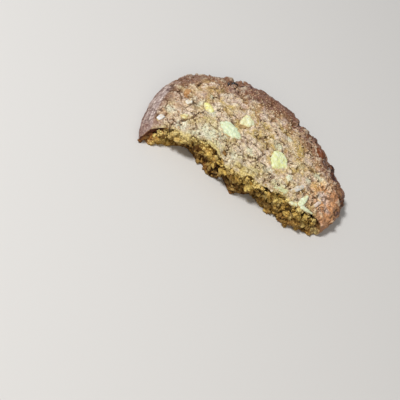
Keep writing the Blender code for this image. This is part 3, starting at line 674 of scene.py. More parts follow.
# Patches of crust with a colour of their own: x, y, radius.
patches = {
    "gold": ((-0.2, 21.7, 2.0), (-9.6, 20.2, 2.4), (-16.2, 20.2, 2.2), (-25.5, 12.6, 2.0), (1.7, 4.1, 1.4),
             (6.3, 4.2, 1.1), (13.6, 14.0, 1.5), (16.7, -1.0, 1.9), (8.2, 21.1, 1.7), (-5.1, -3.2, 2.4),
             (-29.9, 23.6, 2.0), (-30.4, 9.4, 2.2), (29.5, -2.0, 2.0), (12.0, 27.0, 2.0), (20.0, 14.0, 2.4),
             (-37.8, 9.6, 1.4), (26.0, 6.0, 2.2)),
    "pale": ((-19.6, 6.2, 4.6), (-25.4, 3.2, 3.4), (-2.0, 5.8, 2.4), (-9.1, -0.6, 3.4), (5.7, 0.8, 3.2),
             (9.6, 15.2, 2.4), (29.2, 9.4, 2.0), (11.4, -5.0, 4.4), (-35.3, 11.6, 2.2), (-26.4, 19.0, 2.6),
             (32.6, 0.8, 2.4), (14.4, 21.6, 1.8), (-20.4, 17.0, 2.6), (-31.0, 5.5, 3.0), (-14.5, 7.0, 3.6),
             (22.0, -7.6, 3.0), (24.5, 5.0, 2.0), (-21.0, 25.0, 2.0)),
    "mauve": ((-39.4, 4.6, 3.0), (-35.1, 20.0, 2.8), (5.0, 31.0, 7.0), (12.0, 30.0, 4.0), (14.6, 25.5, 3.0),
              (29.0, 17.5, 4.4), (36.0, 6.0, 3.4), (0.5, 25.8, 3.4), (-24.0, 24.0, 2.6), (-8.0, 28.5, 4.0),
              (-33.0, 14.0, 2.4), (22.0, 25.0, 4.0)),
    # the rose patches at the toasted tip are painted highlights
    "rose": ((33.4, 1.6, 3.0), (35.4, -1.6, 1.8)),
}


def patchShare(x, y, spots, raggedness):
    # 1 in the middle of a patch and 0 outside it, with a ragged edge
    nearest = np.min([np.hypot(x - at, y - over) / radius for at, over, radius in spots], axis=0)
    return smoothStep(1.15, 0.45, nearest + raggedness)


def pitDepth(points, spacing, share, seed):
    # round pits at some of the lattice's random points, each with its own radius: 1 at a pit's middle
    near, _, values = cellPattern(points, spacing, seed)
    radius = 0.11 + 0.08 * values[..., 1]
    return (values[..., 0] * 0.5 + 0.5 < share) * np.clip(1.0 - (near / radius) ** 2, 0.0, 1.0)


def lineDistance(points, x0, y0, x1, y1):
    # distance to a straight line that wanders by some noise, and how near the middle of the line it is
    wander = 0.45 * noise("crackWander", points)
    along = np.array([x1 - x0, y1 - y0])
    length = np.hypot(*along)
    along = along / length
    dx, dy = points[..., 0] - x0 + wander, points[..., 1] - y0 - wander
    at = np.clip(dx * along[0] + dy * along[1], 0.0, length)
    away = np.hypot(dx - at * along[0], dy - at * along[1])
    return away, np.minimum(0.35 + 2.0 * np.sin(np.pi * at / length), 1.0)


def warped(points, size, strength, seed):
    # the same points, pushed about so that what is drawn with them bends
    return points + strength * np.stack([latticeNoise(points, size, seed + i) for i in (1, 2, 3)], axis=-1)


def crustRelief(points):
    # height of the crust's own texture, how deep in a pit or crack each point is, a value for each grain, and
    # 1 in the seams between grains
    bent = warped(points, *crustTexture["warp"])
    high, *field = crustTexture["clumps"]
    clumps = high * clumpNoise(bent, *field)
    high, *field = crustTexture["granules"]
    near, second, values = cellPattern(warped(points, *crustTexture["granuleWarp"]), *field)
    steep, power, least, spread = crustTexture["granuleForm"]
    form = np.minimum((second - near) * steep, 1.0) ** power * (least + spread * values[..., 0])
    clumps += high * (form - 0.5)
    deep, wide, *field = crustTexture["crackle"]
    plateNear, plateNext, _ = cellPattern(warped(points, *crustTexture["crackleWarp"]), *field)
    opened = smoothStep(*crustTexture["crackleOpen"], noise("crackleOpen", points))
    cut = deep * opened * np.clip(1.0 - (plateNext - plateNear) / wide, 0.0, 1.0)
    deep, *field = crustTexture["pits"]
    cut = np.maximum(cut, deep * pitDepth(bent, *field))
    crackSpread, holeSpread = crustTexture["spread"]
    for x0, y0, x1, y1, width, depth in cracks:
        away, strength = lineDistance(points, x0, y0, x1, y1)
        cut = np.maximum(cut, depth * strength * np.clip(1.0 - away / (width * crackSpread), 0.0, 1.0))
    ragged = 1.0 + 0.3 * noise("holeEdge", points)
    for x, y, radius, depth in holes:
        away = np.hypot(points[..., 0] - x, points[..., 1] - y) * ragged
        cut = np.maximum(cut, depth * np.clip(1.0 - (away / (radius * holeSpread)) ** 2, 0.0, 1.0))
    seam = 1.0 - np.minimum((second - near) * 3.0, 1.0)
    return clumps + crustTexture["gritHeight"] * noise("grit", points), cut, values[..., 1] * 0.5 + 0.5, seam


def crumbRelief(points):
    # how far the broken crumb stands out, with the depth of its pores and a value for each grain: finer at
    # the left
    bent = warped(points, *crumbTexture["warp"])
    high, *field = crumbTexture["clumps"]
    clumps = high * clumpNoise(bent, *field) + crumbTexture["blockHeight"] * noise("blocks", bent)
    deep, *field = crumbTexture["pores"]
    pores = deep * pitDepth(bent, *field)
    deep, *field = crumbTexture["caves"]
    pores = np.maximum(pores, deep * smoothStep(*field, noise("caves", bent)))
    grain = cellPattern(bent, *crumbTexture["grain"])[2][..., 1] * 0.5 + 0.5
    least, *field = crumbTexture["finer"]
    coarse = linear(least, 1.0 - least, smoothStep(*field, points[..., 0]))
    less, *field = crumbTexture["tight"]
    return clumps * coarse, pores * coarse * (1.0 - less * bell(*field, points[..., 0])), grain


doughShape = {
    "crumbRows": (0.3, 2.4),  # the crust turns to crumb over these rows below the edge of the break
    "bed": (1.3, 0.98, 0.72),  # the crust is sunk under a topping: depth, from and to as shares of its reach
    "bedRagged": 0.22,
    "dam": (0.55, 1.10, 0.16),  # dough rose round a topping: height, middle and half width in the same shares
    "damPatches": (-0.3, 0.4),
    "lipFrom": (62.0, 65.0), "lipTo": (99.0, 95.0),  # the smooth lip of the rim, in degrees
    "lipShare": (0.735, 0.765), "lipRagged": 0.03,
    "wallShare": (0.915, 0.94),
    "calm": (0.45, 1.1, -0.35, 0.45),  # least share of the crust's texture, spread, and over which noise
    "smooth": (0.85, 0.75),  # how much of it the wall lacks, and the lip's share of that
    "degreesWide": 0.12,
    "keepRows": (1.0, 4.0),  # rows above the base over which the relief sets in
    "frayEnds": (1.5, 0.5, 3.0),  # how far from the right tip fraying ends, how softly, and from the left one
    "lowest": 0.05,
    # relief that counts as high: on the crust, and on the crumb the share of pores, the middle and the range
    "fullCrust": 0.38, "fullCrumb": (0.6, 0.3, 1.15),
    "fullPit": (0.15, 0.9),
}


def doughSkin(rows, toTip):
    # the rows moved out by their relief, and what the colours go by, as one value for each point
    count, across = rows.shape[:2]
    top = grid["topRings"]
    x, y, z = np.moveaxis(rows, -1, 0)
    number = np.arange(count)[:, None] * np.ones(across)
    broken = (np.arange(across) < breakColumns) * np.ones((count, 1))
    crumb = broken * smoothStep(*doughShape["crumbRows"], number - top)
    below = np.maximum(z[top] - z, 0.0)
    toEdge = np.where(number > top, np.where(broken > 0.5, below, 99.0), np.abs(y - breakY(x)))
    degrees = rimDegrees(np.arctan2(y, x))
    broad, wall, share = broadRelief(rows)
    crust, cut, crustGrain, seam = crustRelief(rows)
    loose, pores, crumbGrain = crumbRelief(rows)

    nearest = toppingReach(rows, chocolatePlaces + macadamiaPlaces)
    nearest = nearest + doughShape["bedRagged"] * noise("toppingEdge", rows)
    deep, *edge = doughShape["bed"]
    high, *place = doughShape["dam"]
    dam = high * bell(*place, nearest) * smoothStep(*doughShape["damPatches"], noise("dam", rows))
    bed = (dam - deep * smoothStep(*edge, nearest)) * (1.0 - crumb)

    inLip = smoothStep(*doughShape["lipFrom"], degrees) * smoothStep(*doughShape["lipTo"], degrees)
    inLip *= smoothStep(*doughShape["lipShare"], share + doughShape["lipRagged"] * noise("lipEdge", rows))
    onWall = wall * smoothStep(*doughShape["wallShare"], share)
    least, spread, *between = doughShape["calm"]
    ofWall, ofLip = doughShape["smooth"]
    texture = linear(least, spread, smoothStep(*between, noise("calm", rows)))
    texture *= 1.0 - ofWall * np.maximum(ofLip * inLip, onWall)
    around = np.stack([degrees * doughShape["degreesWide"], z, np.zeros_like(z)], axis=-1)
    wrinkles = crustTexture["wrinkleHeight"] * noise("wrinkles", around) * onWall
    fine = (crust - cut) * texture + wrinkles

    fade = np.zeros((count, across))
    fade[top:, :breakColumns] = smoothStep(0.0, crumbTexture["fade"], toTip)
    deep, *place = crumbTexture["undercut"]
    undercut = deep * bell(*place, below) * linear(*crumbTexture["undercutUneven"], noise("undercut", rows))
    undercut *= smoothStep(*crumbTexture["undercutFrom"], x)
    height = (broad + fine + bed) * (1.0 - crumb) + (loose - pores - undercut) * crumb * fade
    # nothing of the side dips under the base, and the base's own edge stays where it is
    last, full = doughShape["keepRows"]
    keep = smoothStep(count - last, count - full, number)
    moved = rows + rowNormals(rows) * (height * keep)[..., None]
    sideways = np.stack([noise(f"sideways{i}", rows + 50.0 * i) for i in (1, 2, 3)], axis=-1)
    moved += sideways * (crumbTexture["sideways"] * crumb * keep)[..., None]
    # the crust's broken edge is frayed, in the plane of the crust
    far, reach = crumbTexture["frayed"]
    frayed = far * noise("frayed", rows * np.array([1.0, 1.0, 0.4])) * falloff(reach, 2.0, toEdge)
    before, soft, after = doughShape["frayEnds"]
    frayed *= smoothStep(soft, -soft, x - tipRight + before) * smoothStep(tipLeft, tipLeft + after, x)
    moved[..., 1] += frayed
    moved[:-1, :, 2] = np.maximum(moved[:-1, :, 2], doughShape["lowest"])
    # the base's own edge lies on the ground
    moved[-1, :, 2] = 0.0

    ofPores, middle, spread = doughShape["fullCrumb"]
    inCrumb = crumb > 0.5
    level = np.where(inCrumb, (loose - ofPores * pores - middle) / spread, fine / doughShape["fullCrust"])
    # the deeper a pit, crack or pore, the darker its colour, as painted shade
    ofPores, full = doughShape["fullPit"]
    pit = np.clip(np.where(inCrumb, pores * ofPores, cut) / full, 0.0, 1.0) * full
    return moved, {
        "rows": rows, "x": x, "y": y, "z": z, "degrees": degrees, "share": share, "below": below,
        "depth": below / np.maximum(z[top], 0.1), "toEdge": toEdge, "face": broken * (number > top),
        "broken": broken, "crumb": crumb, "inLip": inLip, "onWall": onWall, "around": around, "seam": seam,
        "level": level, "pit": pit, "crustGrain": crustGrain,
        "grain": np.where(inCrumb, crumbGrain, crustGrain)}


# Where each colour of the dough shows: what all its entries are multiplied by, then the entries, of which the
# strongest counts. An entry is a strength and terms, all multiplied. A term is the name of a measure, or a
# curve with its two values over another term.
zones = {
    "rim": (
        ((linear, 1.0, -1.0, "onWall"), (linear, 1.0, -0.85, "toasted"), (linear, 1.0, -0.8, "corner")),
        (0.95, (smoothStep, 0.73, 0.90, "share8"), (smoothStep, 125.0, 98.0, "degrees")),
        (0.90, (smoothStep, 0.83, 0.93, "share5")),
        (0.88, (smoothStep, 12.0, 24.0, "degrees"), (smoothStep, 120.0, 110.0, "degrees"),
         (smoothStep, 0.66, 0.82, "backShare")),
        (1.0, (bell, 100.0, 12.0, "degrees"), (smoothStep, 0.62, 0.80, "share10")),
        (1.0, (linear, 0.82, 0.18, (smoothStep, 0.76, 0.95, "share")), "inLip")),
    # the toasted end: toasted colour, partly painted light
    "toast": (
        (), (1.0, (bell, 0.0, 8.0, "fromToasted"), (linear, 1.05, 0.4, "mottle"),
             (linear, 0.75, 0.4, (smoothStep, -0.25, 0.35, "tufts")))),
    "pale": (
        ((smoothStep, 34.0, 31.0, "x"), (linear, 1.0, -0.6, "nearEdge")),
        (1.0, (bell, -14.0, 22.0, "x"), (falloff, 8.5, 1.0, "toEdge"), (linear, 0.85, 0.5, "mottle")),
        (0.8, (falloff, 1.8, 1.0, "toEdge"), (linear, 0.8, 0.6, "mottle")),
        (0.8, "palePatch")),
    "mauve": (
        (), (0.7, "mauvePatch"),
        (0.9, (smoothStep, 0.57, 0.82, "share8"), "patches",
         (linear, 1.0, -0.55, (smoothStep, -8.0, -26.0, "x")))),
    "gold": ((), (0.6, (smoothStep, 0.35, 0.75, "gold")), (1.0, "goldPatch")),
    "olive": ((), (1.0, (smoothStep, -0.02, 0.42, "hue"))),
    "straw": (
        ((smoothStep, 34.0, 30.0, "x"),),
        (1.0, (smoothStep, -22.0, -6.0, "x"), (falloff, 4.0, 1.0, "toEdge"), (linear, 0.6, 0.6, "mottle")),
        (1.0, (falloff, 1.1, 2.0, "toEdge")),
        (1.0, "nearEdge")),
    "burnt": (("face",), (1.0, (smoothStep, 1.1, 0.6, "wedge"))),
    # raised: tops of the relief lighter, as a painted highlight; low: its hollows darker, as painted shade
    "raised": ((), (1.0, (smoothStep, 0.1, 1.0, "level"))),
    "low": ((), (1.0, (smoothStep, -0.25, -1.1, "level"))),
    # painted sheen on the wall: light streaks along it and its upper part lighter
    "paintedSheenStreak": (
        (), (1.0, (smoothStep, -0.1, 0.4, "lightBand")),
        (1.0, (smoothStep, 6.5, 9.5, "z"), (smoothStep, 174.0, 160.0, "degrees"))),
    "pinker": ((), (0.6, (smoothStep, 0.02, -0.42, "hue"))),
    # pinker places at the left, and at the tip the rose patches, which are painted highlights
    "pinkAndPaintedHighlights": (
        (), (0.3, (smoothStep, 0.55, 0.75, "share"), (smoothStep, -22.0, -30.0, "x"),
             (linear, 1.0, 1.0, "mottle")),
        (0.9, "rosePatch")),
    # crumb: painted light just below the crust and on a ledge at the right, painted shade further down and in
    # a groove
    "lit": (
        (), (1.0, (falloff, 1.0, 1.5, "intoLight"), (linear, 1.0, -1.0, "underWedge"),
             (linear, 1.0, -0.35, (bell, -28.0, 10.0, "x"))),
        (0.6, (bell, 5.5, 1.8, "below"), (smoothStep, -6.0, 2.0, "x"), (linear, 0.6, 0.8, "mottle"))),
    "deep": (
        (), (1.0, (smoothStep, 0.3, 0.7, "shadedDepth"), (smoothStep, -36.0, -24.0, "x"),
             (linear, 0.95, -0.5, (smoothStep, -4.0, 6.0, "x")))),
    "grooveShade": ((), (0.65, (bell, 2.5, 0.9, "below"), (smoothStep, -14.0, -6.0, "x"))),
}
# The wall is darker in its wrinkles, towards its foot and towards the tip of the break.
streaks = ((0.45, (smoothStep, -0.1, 0.5, "darkBand")), (0.5, (smoothStep, 6.5, 2.0, "z")),
           (0.6, (smoothStep, 168.0, 180.0, "degrees")))
# The rim's crust shows as a dark wedge where it was broken at the left, and thinly at the right.
wedge = {"left": (8.5, 7.0, -2.5), "right": (1.2, 5.0, 0.0), "ragged": 0.4}
# The base's own values, where they aren't 0.
baseColours = {"rim": 0.9, "gold": 0.2, "grain": 0.5, "toast": 0.2}


def measured(term, at):
    if isinstance(term, str):
        return at[term]
    curve, first, second, inner = term
    return curve(first, second, measured(inner, at))


def strongest(name, at):
    factors, *entries = zones[name]
    amounts = [strength * np.prod([measured(term, at) for term in (*terms, *factors)], axis=0)
               for strength, *terms in entries]
    return np.max(amounts, axis=0)


def addMeasures(at):
    # what the zones go by, from the skin's own values: noises, shares of the radius and distances
    rows, x, share, degrees, below = (at[key] for key in ("rows", "x", "share", "degrees", "below"))
    for name in ("mottle", "tufts", "patchy", "gold", "hue"):
        at[name] = noise(name, rows)
    mottle = at["mottle"]
    at["hue"] = at["hue"] + 0.1 * (2.0 * at["crustGrain"] - 1.0)
    at["patches"] = np.minimum(0.55 + 0.9 * smoothStep(-0.3, 0.35, at["patchy"]), 1.1)
    for percent in (5, 8, 10):
        at[f"share{percent}"] = share + 0.01 * percent * mottle
    at["backShare"] = at["share10"] + 0.06 * smoothStep(60.0, 90.0, degrees)
    at["corner"] = smoothStep(2.0, -14.0, degrees) * smoothStep(1.0, 0.95, share)
    for name, spots in patches.items():
        at[name + "Patch"] = patchShare(x, at["y"], spots, 0.5 * mottle)
    at["fromToasted"] = np.hypot(x - 35.0, at["y"] - 0.5)
    left, right = (wide * smoothStep(start, end, away) for (wide, start, end), away in
                   ((wedge["left"], x - tipLeft), (wedge["right"], tipRight - x)))
    at["wedge"] = below / np.maximum(left + right, 0.01) + wedge["ragged"] * mottle
    at["underWedge"] = at["broken"] * smoothStep(2.2, 1.0, at["wedge"]) * smoothStep(-26.0, -30.0, x)
    at["intoLight"] = below / (1.3 + 4.2 * bell(-30.0, 9.0, x))
    at["shadedDepth"] = at["depth"] + 0.3 * mottle + 0.14 * bell(-14.0, 12.0, x)
    edgeReach = 2.0 + 1.4 * bell(-4.0, 8.0, x)
    at["nearEdge"] = falloff(edgeReach, 2.0, at["toEdge"]) * smoothStep(-16.0, -8.0, x)
    at["darkBand"] = noise("darkStreak", at["around"] * np.array([1.0, 0.7, 1.0]))
    # bands for the painted sheen streaks of the wall
    at["lightBand"] = noise("paintedSheenStreak", at["around"] * np.array([0.6, 1.3, 1.0]))
    at["toasted"] = np.minimum(strongest("toast", at), 1.0)


def doughColours(at):
    # how much of each colour shows at each point of the skin
    addMeasures(at)
    shown = {name: strongest(name, at) for name in zones}
    inCrumb, lit, low = at["crumb"] > 0.5, shown["lit"], shown["low"]
    # on the crumb, pale is the painted light of the lit zone; on the crust it is the pale bloom
    pale = np.where(inCrumb, lit * (0.9 + 0.5 * at["mottle"]), shown["pale"])
    gold = np.where(inCrumb, np.maximum(0.6 * shown["gold"], at["underWedge"]), shown["gold"])
    # on the crumb, low also takes the painted shade of the deep zone and the groove, less under the painted
    # light; on the crust, low also darkens the seams between grains as painted shade
    lowCrumb = np.maximum(np.maximum(low, shown["deep"]) * (1.0 - 0.7 * lit), shown["grooveShade"])
    low = np.where(inCrumb, lowCrumb, np.maximum(low, 0.12 * at["seam"]))
    # yellower and pinker patches of a few grains, and painted sheen streaks on the wall
    pinker = shown["pinker"] * (1.0 - 0.7 * np.minimum(pale, 1.0))
    rose = np.where(at["onWall"] > 0.5, shown["paintedSheenStreak"], pinker) * (1.0 - 0.8 * at["toasted"])
    streak = at["onWall"] * sum(strength * measured(term, at) for strength, term in streaks)
    return {**shown, "pale": pale, "gold": gold, "low": low, "rose": np.maximum(rose, shown["pinkAndPaintedHighlights"]),
            "streak": streak, "wall": at["onWall"], **{name: at[name] for name in ("crumb", "pit", "grain")}}


def dough():
    rows, spine, toTip = doughRows()
    moved, at = doughSkin(rows, toTip)
    shown = doughColours(at)
    # the base: flat rings from the foot in to a spine below the first one
    base = [spine + (moved[-1] - spine) * share for share in grid["baseRings"]]
    rings = np.concatenate([moved[1:], np.array(base)], axis=0)
    points = np.concatenate([moved[0][firstOfSpine], rings.reshape(-1, 3), spine[firstOfSpine]])
    ringCount, across = rings.shape[:2]
    spineCount = len(spineX)

    def padded(parts):
        # the parts' values for each point, with the base's own ones
        values = np.clip(np.stack([shown[part] for part in parts], axis=-1), 0.0, 1.0)
        baseValues = np.array([baseColours.get(part, 0.0) for part in parts])
        ringPart = np.concatenate([values[1:], np.broadcast_to(baseValues, (len(base), across, 4))], axis=0)
        endPart = np.broadcast_to(baseValues, (spineCount, 4))
        return np.concatenate([values[0][firstOfSpine], ringPart.reshape(-1, 4), endPart])

    ringIds = spineCount + np.arange(ringCount * across).reshape(ringCount, across)
    following = np.roll(ringIds, -1, axis=1)
    quads = np.stack([ringIds[:-1], ringIds[1:], following[1:], following[:-1]], axis=-1).reshape(-1, 4)
    nextSpine = np.roll(spineIndex, -1)
    alike = spineIndex == nextSpine
    faces = quads.tolist()
    for ends, ids, nextIds, turn in ((0, ringIds[0], following[0], 1),
                                     (spineCount + ringCount * across, ringIds[-1], following[-1], -1)):
        triangles = np.stack([spineIndex + ends, ids, nextIds], axis=-1)[alike]
        cells = np.stack([spineIndex + ends, ids, nextIds, nextSpine + ends], axis=-1)[~alike]
        faces += triangles[:, ::turn].tolist() + cells[:, ::turn].tolist()
    material = bakedDough()
    surfacePiece("bakedDough", points, faces, material,
                 {label: padded(parts) for label, parts in attributeParts.items()})
    return material


def blockGrid(across, around):
    # a closed grid on a sphere: rows of latitude between two poles, as directions and faces
    tilt = np.linspace(0.0, np.pi, across + 1)[1:-1, None]
    turn = np.linspace(0.0, 2 * np.pi, around, endpoint=False)[None, :]
    high = np.cos(tilt) + 0.0 * turn
    ways = np.stack([np.sin(tilt) * np.cos(turn), np.sin(tilt) * np.sin(turn), high], axis=-1)
    ways = np.concatenate([[[0.0, 0.0, 1.0]], ways.reshape(-1, 3), [[0.0, 0.0, -1.0]]])
    ids = 1 + np.arange((across - 1) * around).reshape(across - 1, around)
    after = np.roll(ids, -1, axis=1)
    quads = np.stack([ids[:-1], ids[1:], after[1:], after[:-1]], axis=-1).reshape(-1, 4).tolist()
    last = len(ways) - 1
    caps = [[0, a, b] for a, b in zip(ids[0], after[0])] + [[last, b, a] for a, b in zip(ids[-1], after[-1])]
    return ways, quads + [[int(i) for i in cap] for cap in caps]


def crustPlace(x, y, standsOut, halfDepth):
    # where a piece's middle goes so that it stands out of the crust by this much, and the turn that lays its
    # up axis along the dome's own normal
    step = 1.5
    xs, ys = np.array([x, x + step, x - step, x, x]), np.array([y, y, y, y + step, y - step])
    heights = domeHeight(xs, ys)
    lean = Vector(((heights[2] - heights[1]) / (2 * step), (heights[4] - heights[3]) / (2 * step), 1.0))
    up = lean.normalized()
    swell = broadRelief(np.array([[x, y, heights[0]]]))[0][0]
    middle = np.array([x, y, heights[0]]) + np.array(up) * (swell + standsOut - halfDepth)
    return middle, Vector((0.0, 0.0, 1.0)).rotation_difference(up).to_matrix()


def joinedPiece(name, faces, parts, shades, material):
    # parts with the same faces as one piece, each point with its shade
    size = len(parts[0])
    joined = [[k + size * i for k in face] for i in range(len(parts)) for face in faces]
    surfacePiece(name, np.concatenate(parts), joined, material, {"shade": np.concatenate(shades)})


toppingForm = {
    "fineness": (40, 72),
    "rough": (1.8, 3, 0.6),  # size, layers and share of each of the dents
    "fullRough": 1.5,  # pieces thinner than this on each side are dented less
    "dust": (1.4, 3, 0.7), "dustUneven": 0.7,
    "dustHeight": (0.5, -0.2),  # dough clings from the first to the second of these heights over the crust
}


def toppingPiece(name, places, tints, material, seed, roughness):
    # slabs with these outlines laid in the crust: flat on top, turned down at the edge, dented and gritty
    ways, faces = blockGrid(*toppingForm["fineness"])
    power = topping["edgeSharpness"]
    size, *layers = toppingForm["rough"]
    dustSize, *dustLayers = toppingForm["dust"]
    parts, shades = [], []
    for i, (standsOut, depth, corners) in enumerate(places):
        corners, halfDepth = np.array(corners), depth / 2
        middle = corners.mean(axis=0)
        local = ways * np.append(np.ptp(corners, axis=0) / 2, halfDepth)
        across = outlineReach(local + np.append(middle, 0.0), corners)
        local = local / ((across**power + np.abs(local[:, 2] / halfDepth) ** power) ** (1.0 / power))[:, None]
        rough = roughness * min(1.0, halfDepth / toppingForm["fullRough"])
        local += ways * (rough * layeredNoise(local + 31.0 * i, size, seed, *layers))[:, None]
        centre, tilt = crustPlace(*middle, standsOut, halfDepth)
        overCrust = local[:, 2] - halfDepth + standsOut
        overCrust += toppingForm["dustUneven"] * layeredNoise(local, dustSize, seed + 9, *dustLayers)
        dusty = smoothStep(*toppingForm["dustHeight"], overCrust)
        shades.append(np.column_stack([np.tile(linearColour(tints[i])[:3], (len(ways), 1)), dusty]))
        parts.append(local @ np.array(tilt).T + centre)
    joinedPiece(name, faces, parts, shades, material)


# Hard nubs of browned crust, and one at x 16.8, y 30.8 that is a dark spot of painted shade in the crease
# under a step: x, y, length, width, turn in degrees, how far it stands out, colour.
nubPlaces = ((-12.7, 39.2, 4.2, 2.6, 198.0, 0.9, "#160c0c"), (-7.8, 39.4, 2.8, 1.8, 191.0, 0.6, "#2a1618"),
             (-5.0, 42.2, 2.0, 1.6, 187.0, 0.4, "#4a3036"), (16.8, 30.8, 3.4, 1.8, 151.0, 0.4, "#5e2e16"),
             (23.2, 30.0, 4.6, 3.2, 142.0, 0.8, "#6c452f"), (26.6, 30.2, 2.6, 2.2, 139.0, 0.7, "#54382f"),
             (30.4, 23.6, 5.8, 4.6, 129.0, 2.0, "#6a3410"), (32.8, 18.6, 5.0, 3.8, 120.0, 1.1, "#513a30"),
             (36.0, 20.0, 3.2, 2.8, 119.0, 1.3, "#2c120a"), (36.4, 16.4, 4.0, 2.8, 115.0, 1.3, "#3c1a0e"),
             (38.5, 15.2, 2.2, 2.0, 112.0, 0.8, "#463036"), (43.2, 7.0, 3.2, 2.8, 99.0, 1.1, "#361808"),
             (40.4, 7.7, 1.9, 1.5, 101.0, 0.5, "#50300f"), (41.8, 1.3, 2.2, 1.6, 92.0, 0.6, "#523a32"),
             (-30.6, 23.2, 3.4, 2.8, 95.0, 0.5, "#b98c5a"), (-31.2, 20.6, 2.4, 2.0, 40.0, 0.4, "#a87848"))
nubForm = {"fineness": (18, 28), "firstSeed": 401, "rough": 0.25}


def caramelCrust():
    # Sugar and dough that browned hard on the rim: a glossier, darker shell with its own colour for each nub,
    # one of which is painted shade
    material, tree, shader = newMaterial("caramelised crust")
    place = addNode(tree, "TexCoord").outputs["Object"]
    shade = addNode(tree, "Attribute", {"attribute_name": "shade"}).outputs["Color"]
    grain = grains(tree, place, 900.0, 3.0)
    colour = overlaid(tree, shade, ranged(tree, grain, 0.45, 0.75, 0.0, 0.5), "#a06a42")
    finished(tree, shader, colour, grain, 0.5, 0.0003)
    shader.inputs["Roughness"].default_value = 0.45
    shader.inputs["IOR"].default_value = 1.48
    return material


def nubs():
    ways, faces = blockGrid(*nubForm["fineness"])
    parts, shades = [], []
    for i, (x, y, length, width, turn, standsOut, colour) in enumerate(nubPlaces):
        reach = choppedReach(ways, nubForm["firstSeed"] + 2 * i)[:, None]
        local = ways * reach * np.array([length, width, width]) / 2
        local += ways * (nubForm["rough"] * noise("nub", local + 17.0 * i))[:, None]
        middle, tilt = crustPlace(x, y, standsOut, width / 2)
        turned = np.array(tilt @ Matrix.Rotation(np.radians(turn), 3, "Z"))
        parts.append(local @ turned.T + middle)
        shades.append(np.tile(linearColour(colour), (len(ways), 1)))
    joinedPiece("brownedNubsAndShadeSpot", faces, parts, shades, caramelCrust())


looseCrumbs = {
    "large": 40,  # spread by a seeded draw along the whole break
    "smallest": 0.8, "largest": 1.9, "drawSeed": 11, "floorGap": 0.4,
    "highest": 0.12,  # share of the height below the crust from which they are spread
    "shape": (1.0, 0.8, 0.9),
    "clearOfFloor": 1.3,  # in half sizes
    "small": 520, "smallSeed": 23,
    "smallSizes": (0.35, 1.1), "smallPower": 2.2,  # half sizes, and how much more often they are small
    "smallShape": (0.6, 1.15),
    "fromTips": (1.5, 1.0),
    "depths": (0.03, 0.97), "depthPower": 0.9,
    "above": 0.7, "sunkIn": 0.3,  # least height of the middle, and its way into the face, in half sizes
    # lower crumbs darker, as painted shade, and those just below the crust paler, as painted light
    "dark": 0.75, "darkBy": 0.8, "darkRight": (-38.0, -24.0),  # lower ones are darker, but not at the left
    "paleReach": (1.1, 2.6), "paleBay": (-31.0, 11.0),  # those just below the crust are paler, most here
    "raised": 0.7,
    "flakes": 1400, "flakeSeed": 29,  # granules that stand on the crust
    "flakeSizes": (0.25, 0.6), "flakeShape": (1.0, 0.75, 0.5),
    "flakeAngles": (-0.6, 3.5), "flakeRim": 0.97,  # where they are drawn: directions, share of the radius
    "fromBreak": 0.8, "fromTopping": 1.05, "wallFrom": 0.9, "lipFrom": (0.86, 0.05),
    "flakeUp": 0.05,
    "flakeRimTone": (0.80, 0.95), "flakeMauve": (0.6, 0.85), "flakeTone": 0.8,
    "flakeRaised": (0.9, 0.6),
    "fineness": (5, 7), "largeFineness": (14, 20),
    "forms": range(601, 617, 2),  # seeds of the forms that they share
    "rough": (0.7, 0.8, 3, 0.7),  # height, size, layers and share of each
    "lowest": 0.02,
}


def lumpCloud(name, fineness, middles, sizes, turns, seeds, material, **shown):
    # many rough lumps as one mesh: every lump is one of a few forms, turned about Z and scaled
    ways, faces = blockGrid(*fineness)
    high, size, *layers = looseCrumbs["rough"]
    forms = np.stack([
        ways * (choppedReach(ways, seed) * (1.0 + high * layeredNoise(ways, size, seed, *layers)))[:, None]
        for seed in looseCrumbs["forms"]])
    local = forms[seeds % len(forms)] * sizes[:, None, :]
    cos, sin = np.cos(turns)[:, None], np.sin(turns)[:, None]
    turned = np.stack([local[..., 0] * cos - local[..., 1] * sin, local[..., 0] * sin + local[..., 1] * cos,
                       local[..., 2]], axis=-1)
    points = (turned + middles[:, None, :]).reshape(-1, 3)
    points[:, 2] = np.maximum(points[:, 2], looseCrumbs["lowest"])
    starts = len(ways) * np.arange(len(middles))[:, None]
    allFaces = [lump for face in faces for lump in (np.array(face) + starts).tolist()]
    none = np.zeros(len(middles))
    attributes = {}
    for label, parts in attributeParts.items():
        values = np.stack([shown.get(part, none) for part in parts], axis=-1)
        attributes[label] = np.repeat(values, len(ways), axis=0)
    surfacePiece(name, points, allFaces, material, attributes)


def largeCrumbs():
    # where the large crumbs sit, as the part's own do, and their half sizes
    draw = random.Random(looseCrumbs["drawSeed"])
    cragFade, top = half["fades"][1], looseCrumbs["highest"]
    count, smallest, largest = (looseCrumbs[key] for key in ("large", "smallest", "largest"))
    middles, sizes = [], []
    for i in range(count):
        x = np.array(tipLeft + cragFade + (tipRight - tipLeft - 2 * cragFade) * (i + draw.random()) / count)
        radius = smallest + (largest - smallest) * draw.random() ** 2
        height = domeHeight(x, breakY(x))
        lowest = 1.0 - (radius * looseCrumbs["clearOfFloor"] + looseCrumbs["floorGap"]) / height
        depth = top + (lowest - top) * draw.random()
        middles.append(breakPoints(x, depth, height, np.minimum(x - tipLeft, tipRight - x)))
        sizes.append(radius * np.array(looseCrumbs["shape"]))
    return np.array(middles), np.array(sizes)


